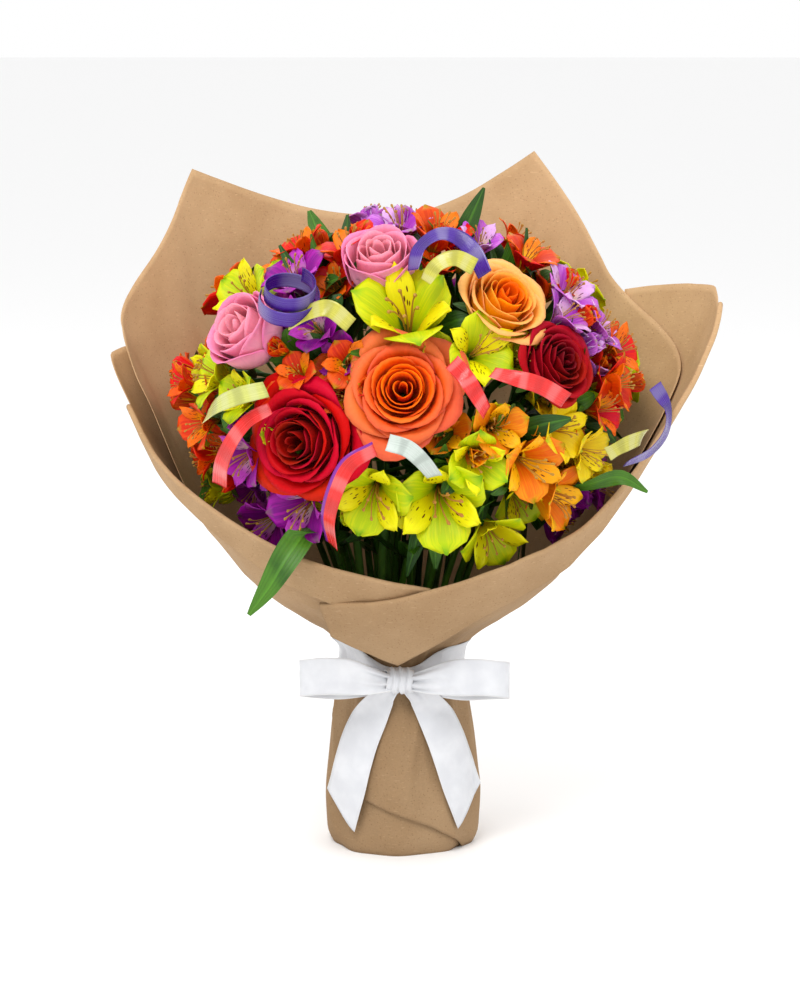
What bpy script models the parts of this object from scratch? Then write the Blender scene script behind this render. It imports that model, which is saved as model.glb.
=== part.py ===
"""Mixed flower bouquet in kraft paper: roses and alstroemeria in a domed bunch, held by three folded
sheets of paper, a satin ribbon with a bow, and short curled ribbons among the flowers.

It stands on its trimmed stem ends and the foot of the paper. +Z is up and the front faces -Y.
Directions on the dome of flowers are (round, down) in degrees: round is 0 at the front and 90 at
the right, down is 0 at the top and 90 at the widest level."""

import math

import bmesh
import bpy
import numpy as np

# ---------------------------------------------------------------- driving dimensions, metres
DOME_CENTRE = np.array([0.004, 0.000, 0.282])
DOME_RADII = np.array([0.137, 0.119, 0.108])
TIE_HEIGHT = 0.118            # the waist, where the stems are tied
TIE_HALF = (0.028, 0.026)     # half width and half depth of the tied stems
STEM_SPACING = 0.0073
TWIST = math.radians(22)      # the stems cross the tie in a spiral
ROSE_STEM, ALSTRO_STEM, SPRIG_STEM, PEDICEL = 0.0027, 0.0021, 0.0014, 0.0014
CLEARANCE = 0.0005
PAPER, PAPER_PITCH = 0.0010, 0.0020
DEPTH = 0.93                  # the wrapping is a little shallower than it is wide
COLUMN_STEP = 10              # degrees between two columns of a paper sheet
SATIN_WIDTH, SATIN = 0.022, 0.0010
CURL_WIDTH, CURL = 0.010, 0.0008

# Radius of the inside of the wrapping by height: foot, waist, splayed sides and upright back.
LEVELS = [0, .03, .075, .105, .120, .132, .145, .163, .182, .205, .232, .262, .292, .322, .352, .392, .43]
SPLAYED = [.0430, .0435, .0395, .0345, .0325, .0380, .0600, .0860, .1020, .1190, .1370, .1570, .1760,
           .1890, .1950, .1950, .1950]
UPRIGHT = [.0430, .0435, .0395, .0345, .0325, .0380, .0600, .0860, .1020, .1180, .1320, .1420, .1500,
           .1560, .1610, .1680, .1740]

# ---------------------------------------------------------------- the plants
# name: colour, round, down, radius in mm
ROSES = {
    "rose_orange": ("orange", -1, 81, 34),
    "rose_red": ("red", -26, 97, 36),
    "rose_pink_left": ("pink", -47, 66, 23),
    "rose_pink_top": ("pink", -10, 39, 22),
    "rose_peach": ("peach", 30, 54, 29),
    "rose_dark_red": ("dark_red", 41, 75, 27),
    "rose_rear_right": ("peach", 148, 48, 27),
    "rose_rear_left": ("red", -150, 50, 27),
    "rose_rear_low": ("orange", 180, 90, 28),
}
# name: colour, then one (round, down, radius in mm) for each bloom
ALSTROEMERIAS = {
    "alstro_lime_top": ("lime", (0, 57, 31), (19, 69, 21)),
    "alstro_lime_front": ("lime", (-9, 115, 24), (9, 117, 29), (17, 103, 20), (30, 134, 22)),
    "alstro_lime_left": ("lime", (-62, 53, 21), (-59, 80, 20), (-45, 85, 17)),
    "alstro_lime_low_left": ("lime", (-80, 121, 16), (-96, 116, 16)),
    "alstro_gold_right": ("gold", (42, 95, 20), (53, 104, 17)),
    "alstro_orange_right": ("orange", (22, 93, 18), (32, 105, 22), (47, 119, 22)),
    "alstro_purple_low_left": ("purple", (-51, 130, 20), (-31, 121, 21), (-45, 104, 19)),
    "alstro_purple_left": ("purple", (-44, 44, 20), (-26, 62, 17)),
    "alstro_lilac_top": ("lilac", (-8, 14, 20), (-150, 18, 17)),
    "alstro_lilac_right": ("lilac", (44, 27, 15), (64, 52, 20), (52, 60, 17), (67, 66, 17)),
    "alstro_purple_low_right": ("purple", (82, 121, 18), (72, 135, 16)),
    "alstro_scarlet_left_top": ("scarlet", (-30, 30, 21), (-62, 32, 18)),
    "alstro_scarlet_top": ("scarlet", (22, 22, 20), (62, 37, 18), (100, 30, 15)),
    "alstro_scarlet_left": ("scarlet", (-66, 97, 16), (-70, 109, 14), (-76, 85, 14)),
    "alstro_scarlet_right": ("scarlet", (74, 74, 17), (67, 84, 18), (60, 91, 16)),
    "alstro_scarlet_middle": ("scarlet", (-15, 73, 15), (-29, 76, 13)),
    "alstro_rear_right": ("lime", (110, 56, 21), (124, 80, 21), (100, 86, 18), (118, 106, 18)),
    "alstro_rear_left": ("scarlet", (-108, 58, 21), (-122, 82, 21), (-99, 88, 18), (-118, 107, 18)),
    "alstro_rear_middle": ("purple", (178, 26, 19), (165, 68, 18), (-166, 70, 18)),
}
# name: points of the midrib (x, y, z in mm) from the neck to the tip, then the half width in mm
SPRIGS = {
    "sprig_front_left": (((-44, -60, 207), (-53, -90, 215), (-64, -108, 205), (-76, -113, 183),
                          (-86, -113, 160)), 8.5),
    "sprig_top": (((30, -30, 356), (37, -33, 378), (43, -33, 393), (50, -32, 409)), 5.0),
    "sprig_middle": (((58, -77, 266), (72, -95, 273), (85, -103, 278), (99, -103, 281)), 7.0),
    "sprig_low_right": (((84, -40, 226), (110, -57, 234), (130, -63, 240), (147, -64, 231)), 7.0),
}
# name: colour, then (round, down, height above the dome in mm) along the ribbon
CURLS = {
    "curl_violet_arc": ("violet", ((2, 47, 15), (4, 42, 21), (10, 40, 27), (16, 41, 27), (20, 45, 25),
                                   (22, 51, 21))),
    "curl_lemon_arc": ("lemon", ((5, 53, 22), (8, 50, 28), (13, 49, 31), (18, 51, 29))),
    "curl_red_left": ("red", ((-31, 87, 17), (-35, 90, 23), (-39, 95, 25), (-44, 102, 23), (-50, 110, 17))),
    "curl_cream_left": ("cream", ((-50, 91, 17), (-43, 87, 25), (-36, 84, 29), (-30, 82, 28))),
    "curl_red_front": ("red", ((-7, 96, 18), (-12, 99, 26), (-15, 105, 29), (-18, 114, 27), (-20, 125, 21))),
    "curl_silver_front": ("silver", ((-4, 94, 22), (0, 95, 26), (3, 98, 26), (6, 103, 21))),
    "curl_red_right": ("red", ((19, 77, 18), (23, 79, 26), (28, 81, 29), (35, 85, 25))),
    "curl_coral": ("red", ((10, 74, 19), (12, 78, 26), (14, 82, 27), (17, 87, 20))),
    "curl_violet_right": ("violet", ((74, 86, 18), (75, 92, 25), (71, 97, 28), (64, 101, 27), (58, 104, 21))),
}
COIL = ((-29, 59, 27), 0.0165, 1.75)   # place on the dome, radius and turns of the violet coil

COLOURS = {
    "orange": ((0.90, 0.22, 0.02), 0.55), "red": ((0.62, 0.01, 0.02), 0.5),
    "pink": ((0.78, 0.30, 0.48), 0.55), "peach": ((0.92, 0.47, 0.12), 0.55),
    "dark_red": ((0.36, 0.01, 0.02), 0.5), "lime": ((0.62, 0.68, 0.05), 0.5),
    "gold": ((0.87, 0.62, 0.04), 0.5), "purple": ((0.33, 0.04, 0.38), 0.5),
    "lilac": ((0.58, 0.30, 0.66), 0.5), "scarlet": ((0.76, 0.08, 0.02), 0.5),
    "violet": ((0.10, 0.02, 0.42), 0.25), "lemon": ((0.80, 0.74, 0.10), 0.25),
    "cream": ((0.85, 0.80, 0.45), 0.3), "silver": ((0.80, 0.80, 0.82), 0.3),
    "stem": ((0.09, 0.22, 0.04), 0.55),
    "leaf": ((0.07, 0.20, 0.03), 0.5), "kraft": ((0.56, 0.36, 0.19), 0.85),
    "satin": ((0.88, 0.88, 0.90), 0.3),
}


# ---------------------------------------------------------------- helpers
def material(name):
    found = bpy.data.materials.get(name)
    if found:
        return found
    colour, roughness = COLOURS[name]
    made = bpy.data.materials.new(name)
    made.use_nodes = True
    shader = made.node_tree.nodes["Principled BSDF"]
    shader.inputs["Base Color"].default_value = (*colour, 1)
    shader.inputs["Roughness"].default_value = roughness
    shader.inputs["Metallic"].default_value = 0
    made.diffuse_color = (*colour, 1)
    return made


def add_object(name, points, faces, colour, smooth=True):
    """One closed mesh, its normals turned outwards."""
    mesh = bpy.data.meshes.new(name)
    mesh.from_pydata([tuple(map(float, p)) for p in points], [], [tuple(f) for f in faces])
    work = bmesh.new()
    work.from_mesh(mesh)
    bmesh.ops.remove_doubles(work, verts=work.verts, dist=1e-6)
    bmesh.ops.recalc_face_normals(work, faces=work.faces)
    if work.calc_volume(signed=True) < 0:
        bmesh.ops.reverse_faces(work, faces=work.faces)
    work.to_mesh(mesh)
    work.free()
    mesh.shade_smooth() if smooth else mesh.shade_flat()
    mesh.materials.append(material(colour))
    made = bpy.data.objects.new(name, mesh)
    bpy.context.scene.collection.objects.link(made)
    return made


def unit(vector):
    return np.asarray(vector, float) / np.linalg.norm(vector)


def on_dome(round_deg, down_deg, lift_mm=0.0, scale=1.0):
    around, down = math.radians(round_deg), math.radians(down_deg)
    way = np.array([math.sin(down) * math.sin(around), -math.sin(down) * math.cos(around), math.cos(down)])
    spot = way * DOME_RADII * scale
    return DOME_CENTRE + spot + unit(way / DOME_RADII) * lift_mm / 1000


def facing(round_deg, down_deg):
    """The way a bloom faces: outwards from the dome, a little upwards."""
    spot = on_dome(round_deg, down_deg) - DOME_CENTRE
    return unit(spot / DOME_RADII ** 2 * 0.015 + unit(spot) + (0, 0, 0.18))


def axes(way):
    side = np.cross(way, (0, 0, 1.0))
    side = unit(side) if np.linalg.norm(side) > 1e-3 else np.array([1.0, 0, 0])
    return side, np.cross(side, way)


def sweep(path, sections, closed_ends=True):
    """Lofts one ring of points at each place of the path. A section is (side vector, thickness vector)."""
    points, faces = [], []
    count = len(sections[0])
    for centre, ring in zip(path, sections):
        points += [np.asarray(centre) + offset for offset in ring]
    for row in range(len(path) - 1):
        for i in range(count):
            a, b = row * count + i, row * count + (i + 1) % count
            faces.append((a, b, b + count, a + count))
    if closed_ends:
        faces.append(tuple(range(count))[::-1])
        faces.append(tuple((len(path) - 1) * count + i for i in range(count)))
    return points, faces


def tube(path, radii, sides=6):
    rings = []
    for i, spot in enumerate(path):
        way = unit(np.subtract(path[min(i + 1, len(path) - 1)], path[max(i - 1, 0)]))
        if i == 0 and abs(path[0][2]) < 1e-6:
            way = np.array([0, 0, 1.0])
        side, top = np.array([1.0, 0, 0]), None
        side = unit(side - way * side.dot(way))
        top = np.cross(way, side)
        turns = [math.tau * k / sides for k in range(sides)]
        rings.append([radii[i] * (side * math.cos(t) + top * math.sin(t)) for t in turns])
    return sweep(path, rings)


def strip(path, across, width, thickness):
    """A flat ribbon along a path; across gives its width direction at each point."""
    rings, corners = [], []
    for i, spot in enumerate(path):
        way = unit(np.subtract(path[min(i + 1, len(path) - 1)], path[max(i - 1, 0)]))
        side = unit(across[i] - way * np.dot(across[i], way)) * (width[i] / 2)
        up = unit(np.cross(way, side)) * thickness / 2
        rings.append([side + up, -side + up, -side - up, side - up])
        corners.append([spot + side, spot - side])
    return (*sweep(path, rings), corners)


# ---------------------------------------------------------------- where everything stands
def spread(height):
    """How far the stems have opened out at a height, against the waist."""
    return float(np.interp(height, [0, TIE_HEIGHT, 0.160, 0.282, 0.40], [1.38, 1.0, 1.42, 2.9, 3.6]))


def turned(xy, height):
    angle = TWIST * (height - TIE_HEIGHT) / 0.16
    c, s = math.cos(angle), math.sin(angle)
    return np.array([xy[0] * c - xy[1] * s, xy[0] * s + xy[1] * c])


def necks():
    """The upper end of each main stem."""
    ends = {}
    for name, (_, around, down, size) in ROSES.items():
        ends[name] = DOME_CENTRE + (on_dome(around, down) - DOME_CENTRE) * 0.56 + (0, 0, -0.008)
    for name, (_, *blooms) in ALSTROEMERIAS.items():
        middle = np.mean([on_dome(*b[:2]) for b in blooms], axis=0)
        ends[name] = DOME_CENTRE + (middle - DOME_CENTRE) * 0.58 + (0, 0, -0.006)
    for name, (midrib, _) in SPRIGS.items():
        ends[name] = DOME_CENTRE + (np.array(midrib[0]) / 1000 - DOME_CENTRE) * 0.66
    return ends


def tied(ends):
    """Places the stems in the tie: close to the way each one leads, but clear of each other."""
    names = list(ends)
    spots = []
    for name in names:
        end = ends[name]
        spots.append(turned(end[:2] / spread(end[2]), 2 * TIE_HEIGHT - end[2]))
    spots = np.array(spots)
    limit = np.array(TIE_HALF)
    for _ in range(400):
        for i in range(len(spots)):
            away = spots[i] - spots
            gap = np.linalg.norm(away, axis=1)
            near = (gap < STEM_SPACING) & (np.arange(len(spots)) != i)
            for j in np.nonzero(near)[0]:
                push = (STEM_SPACING - gap[j]) * 0.35
                step = away[j] / max(gap[j], 1e-6) if gap[j] > 1e-6 else np.array([1.0, 0.3])
                spots[i] += step * push
                spots[j] -= step * push
        beyond = np.linalg.norm(spots / limit, axis=1)
        spots = np.where(beyond[:, None] > 1, spots / beyond[:, None], spots)
    return dict(zip(names, spots))


def stem_path(spot, end):
    heights = [h for h in (0.0, 0.060, TIE_HEIGHT, 0.160, 0.205, 0.250, 0.300) if h < end[2] - 0.028]
    path = [np.array([*(turned(spot, h) * spread(h)), h]) for h in heights]
    return path + [end]


# ---------------------------------------------------------------- paper wrapping
def smooth_step(value, low, high):
    t = min(max((value - low) / (high - low), 0), 1)
    return t * t * (3 - 2 * t)


def wall(degrees, height):
    """Inside radius of the wrapping in a direction and at a height."""
    turn = abs((degrees + 180) % 360 - 180)
    back = smooth_step(turn, 98, 126)
    radius = np.interp(height, LEVELS, SPLAYED) * (1 - back) + np.interp(height, LEVELS, UPRIGHT) * back
    pleat = math.cos(math.radians(degrees) * 9) * 0.0011 + math.cos(math.radians(degrees) * 4 + 1) * 0.0009
    return float(radius + pleat * smooth_step(height, 0.150, 0.06) * smooth_step(height, -0.05, 0.02))


SHEETS = {
    # name: first and last direction, then (direction, value) pairs of the top edge in mm, the layer
    # and the inward lean in mm
    "paper_back": (80, 280, ((80, 245), (100, 296), (120, 336), (136, 377), (150, 420), (160, 400),
                             (170, 383), (180, 376), (196, 379), (210, 390), (230, 411), (240, 374),
                             (250, 345), (260, 322), (280, 287)),
                   ((80, 1), (150, 1), (230, 0), (280, 0)), ((235, 0), (262, 15), (280, 15))),
    "paper_left": (-120, 10, ((-120, 302), (-110, 306), (-100, 302), (-90, 262), (-80, 250), (-71, 240),
                              (-65, 235), (-42, 207), (-28, 195), (-12, 187), (10, 178)),
                   ((-120, 1), (10, 1)), ((-120, 0), (10, 0))),
    "paper_right": (-40, 120, ((-40, 165), (-5, 171), (8, 178), (26, 187), (52, 204), (61, 211), (80, 262),
                               (90, 328), (100, 345), (110, 343), (120, 337)),
                    ((-40, 2.25), (120, 2.25)), ((-40, 0), (120, 0))),
}


def by_direction(pairs, degrees, factor=1.0):
    return float(np.interp(degrees, [p[0] for p in pairs], [p[1] for p in pairs])) * factor


def paper_radius(name, degrees, height):
    _, _, _, layer, lean = SHEETS[name]
    inward = by_direction(lean, degrees, 0.001) * smooth_step(height, 0.20, 0.30)
    return wall(degrees, height) + by_direction(layer, degrees) * PAPER_PITCH - inward


def at(degrees, radius, height):
    a = math.radians(degrees)
    return np.array([radius * math.sin(a), -radius * math.cos(a) * DEPTH, height])


def make_sheet(name):
    """A grid over direction and height, cut off at the top edge, with its outer skin offset outwards."""
    first, last, top, _, _ = SHEETS[name]
    columns = list(range(first, last + 1, COLUMN_STEP))
    inner, outer, index = [], [], []
    for degrees in columns:
        edge = by_direction(top, degrees, 0.001)
        column = []
        for level in LEVELS:
            height = min(level, edge)
            radius = paper_radius(name, degrees, height)
            # the front edges are folded over outwards, so the paper is double there
            folded = smooth_step(height, max(edge - 0.040, 0.142), max(edge - 0.026, 0.156))
            shown = {"paper_back": 0, "paper_right": smooth_step(degrees, 78, 62),
                     "paper_left": smooth_step(degrees, -51, -62) * smooth_step(degrees, -95, -80)}[name]
            if level >= edge and column and LEVELS[len(column) - 1] >= edge:
                column.append(column[-1])
                continue
            inner.append(at(degrees, radius, height))
            outer.append(at(degrees, radius + PAPER * (1 + 1.5 * folded * shown), height))
            column.append(len(inner) - 1)
        index.append(column)
    points = inner + outer
    shift = len(inner)
    faces = []

    def face(*corners):
        kept = [c for i, c in enumerate(corners) if c != corners[i - 1]]
        if len(set(kept)) > 2:
            faces.append(tuple(kept))

    rows = len(LEVELS)
    for i in range(len(columns) - 1):
        a, b = index[i], index[i + 1]
        for j in range(rows - 1):
            face(a[j], b[j], b[j + 1])
            face(a[j], b[j + 1], a[j + 1])
            face(b[j + 1] + shift, b[j] + shift, a[j] + shift)
            face(a[j + 1] + shift, b[j + 1] + shift, a[j] + shift)
        face(a[0], a[0] + shift, b[0] + shift, b[0])
        face(a[-1], b[-1], b[-1] + shift, a[-1] + shift)
    for column in (index[0], index[-1]):
        for j in range(rows - 1):
            if column[j] != column[j + 1]:
                face(column[j], column[j + 1], column[j + 1] + shift, column[j] + shift)
    return add_object(name, points, faces, "kraft", smooth=False)


def edge_height(degrees):
    """The lowest height that the inside of the wrapping is known to reach in a direction."""
    best = 0
    for first, last, top, _, _ in SHEETS.values():
        for turn in (degrees - 360, degrees, degrees + 360):
            if first <= turn <= last:
                best = max(best, by_direction(top, turn, 0.001))
    return best


def paper_planes(centre, size):
    """Planes that keep a bloom inside the wrapping: (outward normal, point) at places near it."""
    planes = []
    own = math.degrees(math.atan2(centre[0], -centre[1] / DEPTH))
    for turn in (-36, -24, -12, 0, 12, 24, 36):
        degrees = own + turn
        for rise in (-0.036, -0.018, 0, 0.018, 0.036):
            height = centre[2] + rise
            if height > edge_height(degrees) + 0.014 or height < 0.13:
                continue
            step, bend = 2.0, 0.006
            lean = 0.015 * smooth_step(degrees % 360, 235, 262) * smooth_step(degrees % 360, 290, 281)
            def spot(d, h):
                return at(d, wall(d, h) - lean * smooth_step(h, 0.20, 0.30) - 0.0022, h)
            here = spot(degrees, height)
            along = spot(degrees + step, height) - spot(degrees - step, height)
            rising = spot(degrees, height + bend) - spot(degrees, height - bend)
            normal = unit(np.cross(along, rising))
            if normal.dot(here - [0, 0, height]) < 0:
                normal = -normal
            planes.append((normal, here))
    return planes


# ---------------------------------------------------------------- blooms
def ring_shape(rings, count, centre, way, size, lobes=None, turn=0.0):
    """A closed bloom given by rings of directions about its centre: (angle from the face, reach)."""
    side, top = axes(way)
    points = [centre + way * rings[0][1] * size]
    for tilt_deg, reach, *swing in rings[1:-1]:
        tilt = math.radians(tilt_deg)
        for k in range(count):
            t = math.tau * k / count + turn
            length = reach * (1 + (lobes(k) * swing[0] if swing else 0))
            points.append(centre + size * length * (way * math.cos(tilt) + math.sin(tilt)
                                                    * (side * math.cos(t) + top * math.sin(t))))
    points.append(centre - way * rings[-1][1] * size)
    faces = [(0, 1 + k, 1 + (k + 1) % count) for k in range(count)]
    for row in range(len(rings) - 3):
        for k in range(count):
            a, b = 1 + row * count + k, 1 + row * count + (k + 1) % count
            faces += [(a, b + count, b), (a, a + count, b + count)]
    last = len(points) - 1
    start = last - count
    faces += [(start + k, last, start + (k + 1) % count) for k in range(count)]
    return points, faces


def fit(points, centre, planes):
    """Draws each point towards the centre until it is inside every plane (normal, point)."""
    fitted = []
    for point in points:
        reach = point - centre
        share = 1.0
        for normal, spot in planes:
            room = normal.dot(spot - centre)
            out = normal.dot(reach)
            if out > room:
                share = min(share, max(room, 0.0015) / out)
        fitted.append(centre + reach * share)
    return fitted


def keep_off(centre, hulls):
    """A plane between a centre and each convex piece given as (corner points, radius)."""
    planes = []
    for corners, radius in hulls:
        corners = np.asarray(corners)
        weights = np.linspace(0, 1, 9)
        if len(corners) == 2:
            trial = [corners[0] * (1 - w) + corners[1] * w for w in np.linspace(0, 1, 33)]
        else:
            near, far = corners[1] - corners[0], corners[3] - corners[2]
            trial = [(corners[0] + near * u) * (1 - v) + (corners[2] + far * u) * v
                     for u in weights for v in weights]
        nearest = min(trial, key=lambda p: np.linalg.norm(p - centre))
        normal = unit(nearest - centre)
        room = min(normal.dot(c - centre) for c in corners) - radius - CLEARANCE
        if np.linalg.norm(nearest - centre) < 0.075:
            if room < 0.003:
                print("  tight:", round(room * 1000, 1), "mm")
            planes.append((normal, centre + normal * room))
    return planes


ROSE_RINGS = ((0, 0.42), (24, 0.56), (46, 0.78, 0.03), (66, 0.99, 0.05), (90, 0.98, 0.04), (122, 0.84),
              (155, 0.74), (180, 0.72))
ALSTRO_RINGS = ((0, 0.16), (58, 0.46), (72, 0.81, 0.23), (118, 0.36), (180, 0.62))


def rose_lobes(k):
    return math.cos(math.tau * k * 5 / 12)


def alstro_lobes(k):
    return 1 if k % 2 else -1


def make_bunch():
    ends = necks()
    places = tied(ends)
    paths = {name: stem_path(places[name], end) for name, end in ends.items()}
    for name, (_, around, down, size) in ROSES.items():
        paths[name].append(on_dome(around, down) - facing(around, down) * size * 0.00082)
    for name, (midrib, _) in SPRIGS.items():
        paths[name].append(np.array(midrib[0]) / 1000)
    radii = {n: ROSE_STEM if n in ROSES else ALSTRO_STEM if n in ALSTROEMERIAS else SPRIG_STEM
             for n in paths}
    hulls = {n: [((a, b), radii[n]) for a, b in zip(p[:-1], p[1:])] for n, p in paths.items()}

    heads = {}
    for name, (colour, around, down, size) in ROSES.items():
        heads[name] = [(on_dome(around, down), facing(around, down), size / 1000)]
        hulls[name][-1] = ((paths[name][-2], paths[name][-1]), 0.0045)
    for name, (colour, *blooms) in ALSTROEMERIAS.items():
        heads[name] = [(on_dome(a, d), facing(a, d), size / 1000) for a, d, size in blooms]
        for centre, way, size in heads[name]:
            hulls[name].append(((paths[name][-1], centre - way * size * 0.45), PEDICEL))

    for name, (midrib, half) in SPRIGS.items():
        path = [np.array(p) / 1000 for p in midrib]
        widths = [0.003] + [2 * half / 1000] * (len(path) - 2) + [0.0030]
        widths[1] *= 0.75
        rib = paths[name][:-1] + path
        across = []
        for i, spot in enumerate(rib):
            out = unit(spot - DOME_CENTRE)
            way = unit(rib[min(i + 1, len(rib) - 1)] - rib[max(i - 1, 0)])
            across.append(np.cross(way, out) if abs(way.dot(out)) < 0.98 else np.array([1.0, 0, 0]))
        rings, corners = [], []
        neck = len(paths[name]) - 1
        for i, spot in enumerate(rib):
            way = unit(rib[min(i + 1, len(rib) - 1)] - rib[max(i - 1, 0)])
            if i < neck:
                side = unit(np.array([1.0, 0, 0]) - way * way[0])
                half_w = half_t = SPRIG_STEM
            else:
                side = unit(across[i] - way * np.dot(across[i], way))
                half_w, half_t = widths[i - neck] / 2, 0.0008
            up = np.cross(way, side)
            rings.append([side * half_w, side * half_w * 0.5 + up * half_t,
                          -side * half_w * 0.5 + up * half_t, -side * half_w,
                          -side * half_w * 0.5 - up * half_t, side * half_w * 0.5 - up * half_t])
            corners.append((spot + side * half_w, spot - side * half_w))
        add_object(name, *sweep(rib, rings), "leaf")
        for i in range(neck, len(rib) - 1):
            hulls[name].append(((*corners[i], *corners[i + 1]), 0.0014))

    for name, (colour, line) in CURLS.items():
        path = [on_dome(*p) for p in line]
        dense = smooth_path(path, 3)
        across = [np.cross(unit(np.subtract(dense[min(i + 1, len(dense) - 1)], dense[max(i - 1, 0)])),
                           unit(p - DOME_CENTRE)) for i, p in enumerate(dense)]
        points, faces, corners = strip(dense, across, [CURL_WIDTH] * len(dense), CURL)
        add_object(name, points, faces, colour)
        hulls[name] = [((*a, *b), 0.0009) for a, b in zip(corners[:-1], corners[1:])]
    hulls["curl_violet_coil"] = make_coil("curl_violet_coil")

    placed = {name: list(blooms) for name, blooms in heads.items()}
    for name, blooms in placed.items():
        for number, (centre, way, size) in enumerate(blooms):
            planes = paper_planes(centre, size)
            for other, theirs in placed.items():
                for spot, _, reach in theirs:
                    apart = np.linalg.norm(spot - centre)
                    if other == name or apart > 0.11:
                        continue
                    share = (apart ** 2 + size ** 2 - reach ** 2) / (2 * apart)
                    normal = (spot - centre) / apart
                    planes.append((normal, centre + normal * (share - CLEARANCE)))
            for other, pieces in hulls.items():
                if other != name:
                    planes += keep_off(centre, pieces)
            heads[name][number] = (centre, way, size, planes)

    for name, (colour, *_) in ROSES.items():
        centre, way, size, planes = heads[name][0]
        points, faces = ring_shape(ROSE_RINGS, 12, centre, way, size, rose_lobes)
        add_object(name + "_bloom", fit(points, centre, planes), faces, colour)
        base = centre - way * (size * 0.72 + 0.0012)
        path = paths[name][:-1] + [paths[name][-1] - way * 0.009, base]
        wide = [ROSE_STEM] * (len(path) - 2) + [ROSE_STEM, 0.0044]
        add_object(name + "_stem", *tube(path, wide), "stem")

    for name, (colour, *_) in ALSTROEMERIAS.items():
        path = paths[name]
        stem = add_object(name, *tube(path, [ALSTRO_STEM] * len(path)), colour)
        for centre, way, size, planes in heads[name]:
            points, faces = ring_shape(ALSTRO_RINGS, 12, centre, way, size, alstro_lobes)
            bloom = add_object("operand", fit(points, centre, planes), faces, colour)
            start = path[-1] + unit(path[-2] - path[-1]) * 0.0015
            end = centre - way * size * 0.25
            arm = add_object("operand", *tube([start, end], [PEDICEL, PEDICEL * 0.9]), colour)
            for operand in (arm, bloom):
                join(stem, operand)


def join(target, operand):
    modifier = target.modifiers.new("join", "BOOLEAN")
    modifier.operation, modifier.solver, modifier.object = "UNION", "EXACT", operand
    bpy.context.view_layer.objects.active = target
    bpy.ops.object.modifier_apply(modifier="join")
    bpy.data.objects.remove(operand, do_unlink=True)


# ---------------------------------------------------------------- ribbons
def smooth_path(points, steps):
    """Rounds a path: a smooth curve through its points."""
    points = [np.asarray(p, float) for p in points]
    padded = [2 * points[0] - points[1], *points, 2 * points[-1] - points[-2]]
    dense = []
    for a, b, c, d in zip(padded, padded[1:], padded[2:], padded[3:]):
        for k in range(steps):
            t = k / steps
            dense.append(0.5 * (2 * b + (c - a) * t + (2 * a - 5 * b + 4 * c - d) * t ** 2
                                + (3 * b - a - 3 * c + d) * t ** 3))
    return dense + [points[-1]]


def make_coil(name):
    place, radius, turns = COIL
    centre = on_dome(*place)
    axis = unit((0.10, -0.50, 0.86))
    first = unit(np.cross(axis, (0, 0, 1)))
    second = np.cross(axis, first)
    count = int(turns * 12)
    path = []
    for i in range(count + 1):
        t = math.tau * turns * i / count - 0.6
        reach = radius * (1.12 - 0.30 * i / count)
        rise = axis * 0.014 * (i / count - 0.5)
        path.append(centre + reach * (first * math.cos(t) + second * math.sin(t)) + rise)
    points, faces, corners = strip(path, [axis] * len(path), [CURL_WIDTH] * len(path), CURL)
    add_object(name, points, faces, "violet")
    return [((*a, *b), 0.0009) for a, b in zip(corners[:-1], corners[1:])]


def make_band():
    """The turn of satin ribbon round the waist, over the paper."""
    points, faces = [], []
    columns = list(range(0, 360, COLUMN_STEP))
    heights = (0.1075, 0.120, 0.1295)
    for degrees in columns:
        walls = [wall(degrees, z) for z in LEVELS]
        inner = [np.interp(h, LEVELS, walls) + 2.25 * PAPER_PITCH + PAPER + 0.0006 for h in heights]
        loop = [at(degrees, r, h) for r, h in zip(inner, heights)]
        loop += [at(degrees, r + SATIN, h) for r, h in reversed(list(zip(inner, heights)))]
        points += loop
    count = len(heights) * 2
    for i in range(len(columns)):
        for k in range(count):
            a, b = i * count + k, i * count + (k + 1) % count
            c, d = ((i + 1) % len(columns)) * count + (k + 1) % count, ((i + 1) % len(columns)) * count + k
            faces += [(a, b, c), (a, c, d)]
    add_object("satin_band", points, faces, "satin")


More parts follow.
